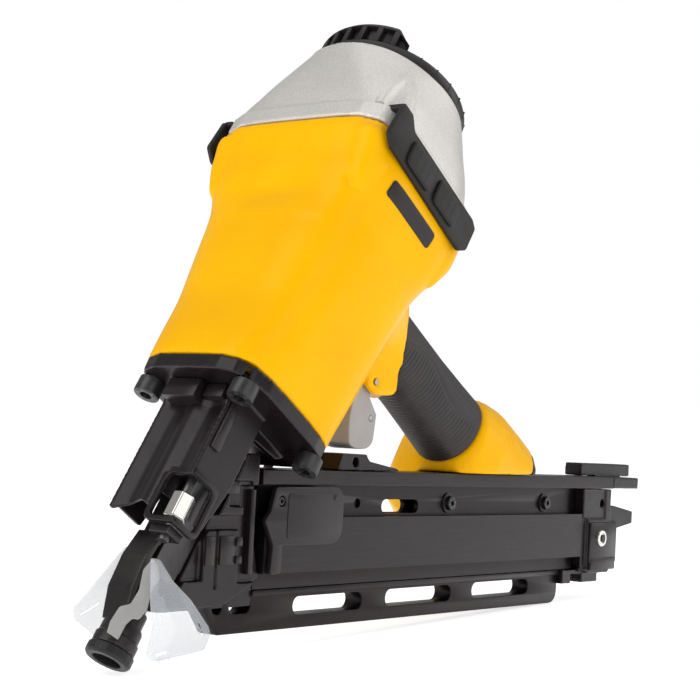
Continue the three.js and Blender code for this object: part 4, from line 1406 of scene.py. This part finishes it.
clipLook = {
    "outline": [(-4.6, 8.4, 0.6), (-5.4, 13, 3), (-4.6, 20.6, 2.5), (-0.7, 23.6, 3), (-0.2, 30.7, 4),
                (-2.4, 39.4, 4), (-0.8, 45.8, 2), (3, 44.6, 2.5), (6.4, 41, 3), (5, 33, 4),
                (6.8, 24.4, 3.5), (5.6, 18.8, 2.5), (2.8, 18.4, 2.5), (1.4, 14.6, 2), (1.2, 7.4, 0.6)],
    "normal": (-0.7317, -0.6816), "across": (0.6816, -0.7317),  # the way it faces, seen from above
    "out": 11.3, "lean": 0.13, "from": 8, "thick": 0.9,
}


def addClip(look):
    clip = plateFrom([rounded(look["outline"])], 0, look["thick"], 0.25, "shieldClip")
    apply(clip, "TRIANGULATE")
    for vertex in clip.data.vertices:
        u, s, depth = vertex.co
        out = look["out"] + (s - look["from"]) * look["lean"] + depth
        t, y = (normal * out + across * u for normal, across in zip(look["normal"], look["across"]))
        vertex.co = (t, y, s)
    settle(clip, driveFrame)
    faceOutward(clip)
    finishPiece(clip, "grey_plastic", "trip_foot")


addClip(clipLook)

collarProfile = [(8.05, 5.5), (9.6, 5.5), (10.2, 7), (10.2, 10.5),
                 (9.4, 11.6), (9.4, 16), (8.8, 17.4), (8.05, 17.4)]
collar = spun(collarProfile, "footCollar", steps=64)
settle(collar, driveFrame)
finishPiece(collar, "black_plastic", "trip_foot")
print("stage: shields and collar made")

# magazine: slotted rail, cover plate, feed block and end fittings
magazineLook = {
    "rail": [(64.5, 7.4, 3), (379, 7.4, 9), (379, 27.4, 1), (45, 27.4, 2), (52, 24, 6)], "railHalf": 5.6,
    "slots": [(80.5, 20.6, 15.5, 8), (149, 18.4, 57, 9), (229.6, 18.6, 62.6, 9), (313.6, 18.8, 62, 9),
              (64.2, 20.6, 7.2, 7.2)],
    "lip": ((88, -7, 24.6), (379, 7, 27.4)),
    "cover": [(92, 77.4, 1.5), (145.2, 77.9, 8), (145.4, 49, 11), (98.2, 49.4, 1), (98.2, 36, 2),
              (90, 35.4, 2), (91.4, 50, 5), (84.6, 61.5, 2.5), (88.6, 66, 3)],
    "coverHole": (96.6, 70.6, 5.4, 5.4), "coverDepth": (12.4, 15.2),
    "inset": [(101, 74.6, 3), (142, 75, 6), (142.2, 52, 9), (101, 52.2, 3)], "insetDepth": (15.1, 15.55),
    "rim": [(74.5, 92, 1), (67, 92, 1), (61.6, 84, 2), (56, 83, 2), (50.6, 74.6, 2), (46, 71, 1),
            (41, 61.6, 1), (43.4, 60.2, 1), (48, 68.6, 1), (52.6, 72.6, 2), (57.6, 80.6, 2),
            (63, 81.8, 2), (68.4, 89.6, 1), (74.5, 89.6, 1)],
    "rimDepth": (11.8, 13.8),
    "tabs": [((46.2, -13.2, 41), (52.4, -11.8, 54.4)), ((56, -13.2, 41), (66.4, -11.8, 54.4)),
             ((66.4, -14, 49.6), (70.6, -12.4, 53.6)), ((66.4, -14, 41.4), (70.6, -12.4, 45)),
             ((56, -14.4, 74), (66, -12, 80)), ((77, -12.4, 36), (80.4, -9, 76))],
    "endBlocks": [((403, -14.8, 31.5), (437.6, -13, 57)), ((404, -15.2, 27), (436, -12.6, 35))],
}


def slotAt(x, z, length, height, steps=9):
    # a slot with round ends as an outline, about its middle
    radius, reach = height / 2, (length - height) / 2
    points = []
    for end in (1, -1):
        for step in range(steps + 1):
            angle = end * math.pi / 2 - math.pi * step / steps
            points.append((x + end * reach + radius * math.cos(angle), z + radius * math.sin(angle)))
    return points


def addRail(look):
    half = look["railHalf"]
    outlines = [rounded(look["rail"])] + [slotAt(*slot) for slot in look["slots"]]
    rail = plateFrom(outlines, -half, half, 0.4, "slottedRail")
    rail.data.transform(onSide)
    lip = block(*look["lip"], 0.5, "railLip")
    settle(joined([rail, lip], "slottedRail"), magazineFrame)
    finishPiece(rail, "black_anodised", "tool", "magazine_bottom_rail")


def addCover(look):
    hole = slotAt(*look["coverHole"])
    cover = plateFrom([rounded(look["cover"]), hole], *look["coverDepth"], 0.5, "coverPlate")
    inset = plateFrom([rounded(look["inset"])], *look["insetDepth"], 0.2, "coverInset")
    cover = joined([cover, inset], "coverPlate")
    cover.data.transform(onSide)
    settle(cover, magazineFrame)
    finishPiece(cover, "black_plastic", "tool", "cover_plate")


def addFeedDetail(look):
    for side in (1, -1):
        rim = plateFrom([rounded(look["rim"])], *look["rimDepth"], 0.3, "feedRim")
        rim.data.transform(onSide)
        pieces = [rim] + [block(*tab, 0.5, "feedTab") for tab in look["tabs"]]
        pieces += [block(*corners, 0.8, "endBlock") for corners in look["endBlocks"]]
        detail = joined(pieces, "feedDetailRight" if side > 0 else "feedDetailLeft")
        if side < 0:
            detail.data.transform(Matrix.Scale(-1, 4, (0, 1, 0)))
            detail.data.flip_normals()
        settle(detail, magazineFrame)
        finishPiece(detail, "black_casting", "tool")


def addPins(look):
    for name, (x, z), deep, profile, slot in look:
        pin = spun(profile, name, steps=36)
        settle(pin, towardsOf(magazineFrame, (x, deep, z), (0, -1, 0)))
        finishPiece(pin, slot, "tool")


# each pin: name, place along and up the magazine, depth, (radius, height) profile, finish
pinLooks = [
    ("coverScrew", (96.6, 70.6), -11,
     [(0, 0), (2.2, 0), (2.2, 3.4), (1.8, 3.8), (1.1, 3.8), (0.9, 2.6), (0, 2.6)], "dark_fastener"),
    ("coverRivet", (138, 72.4), -15, [(0, 0), (1.5, 0), (1.5, 0.7), (1.1, 0.9), (0, 0.9)], "black_plastic"),
    ("endPin", (416, 47), -12,
     [(0, 0), (5.2, 0), (5.2, 4), (4.8, 4.5), (3.4, 4.5), (3.2, 3.6), (0, 3.6)], "nickel_steel"),
    ("endPinCore", (416, 47), -12, [(0, 0), (2.3, 0), (2.3, 4.8), (1.9, 5.2), (0, 5.2)], "dark_fastener"),
    ("bracketPin", (118, 94.6), -12.6, [(0, 0), (2, 0), (2, 2), (1.6, 2.3), (0, 2.3)], "dark_fastener"),
]
addRail(magazineLook)
addCover(magazineLook)
addFeedDetail(magazineLook)
addPins(pinLooks)
print("stage: magazine detailed")
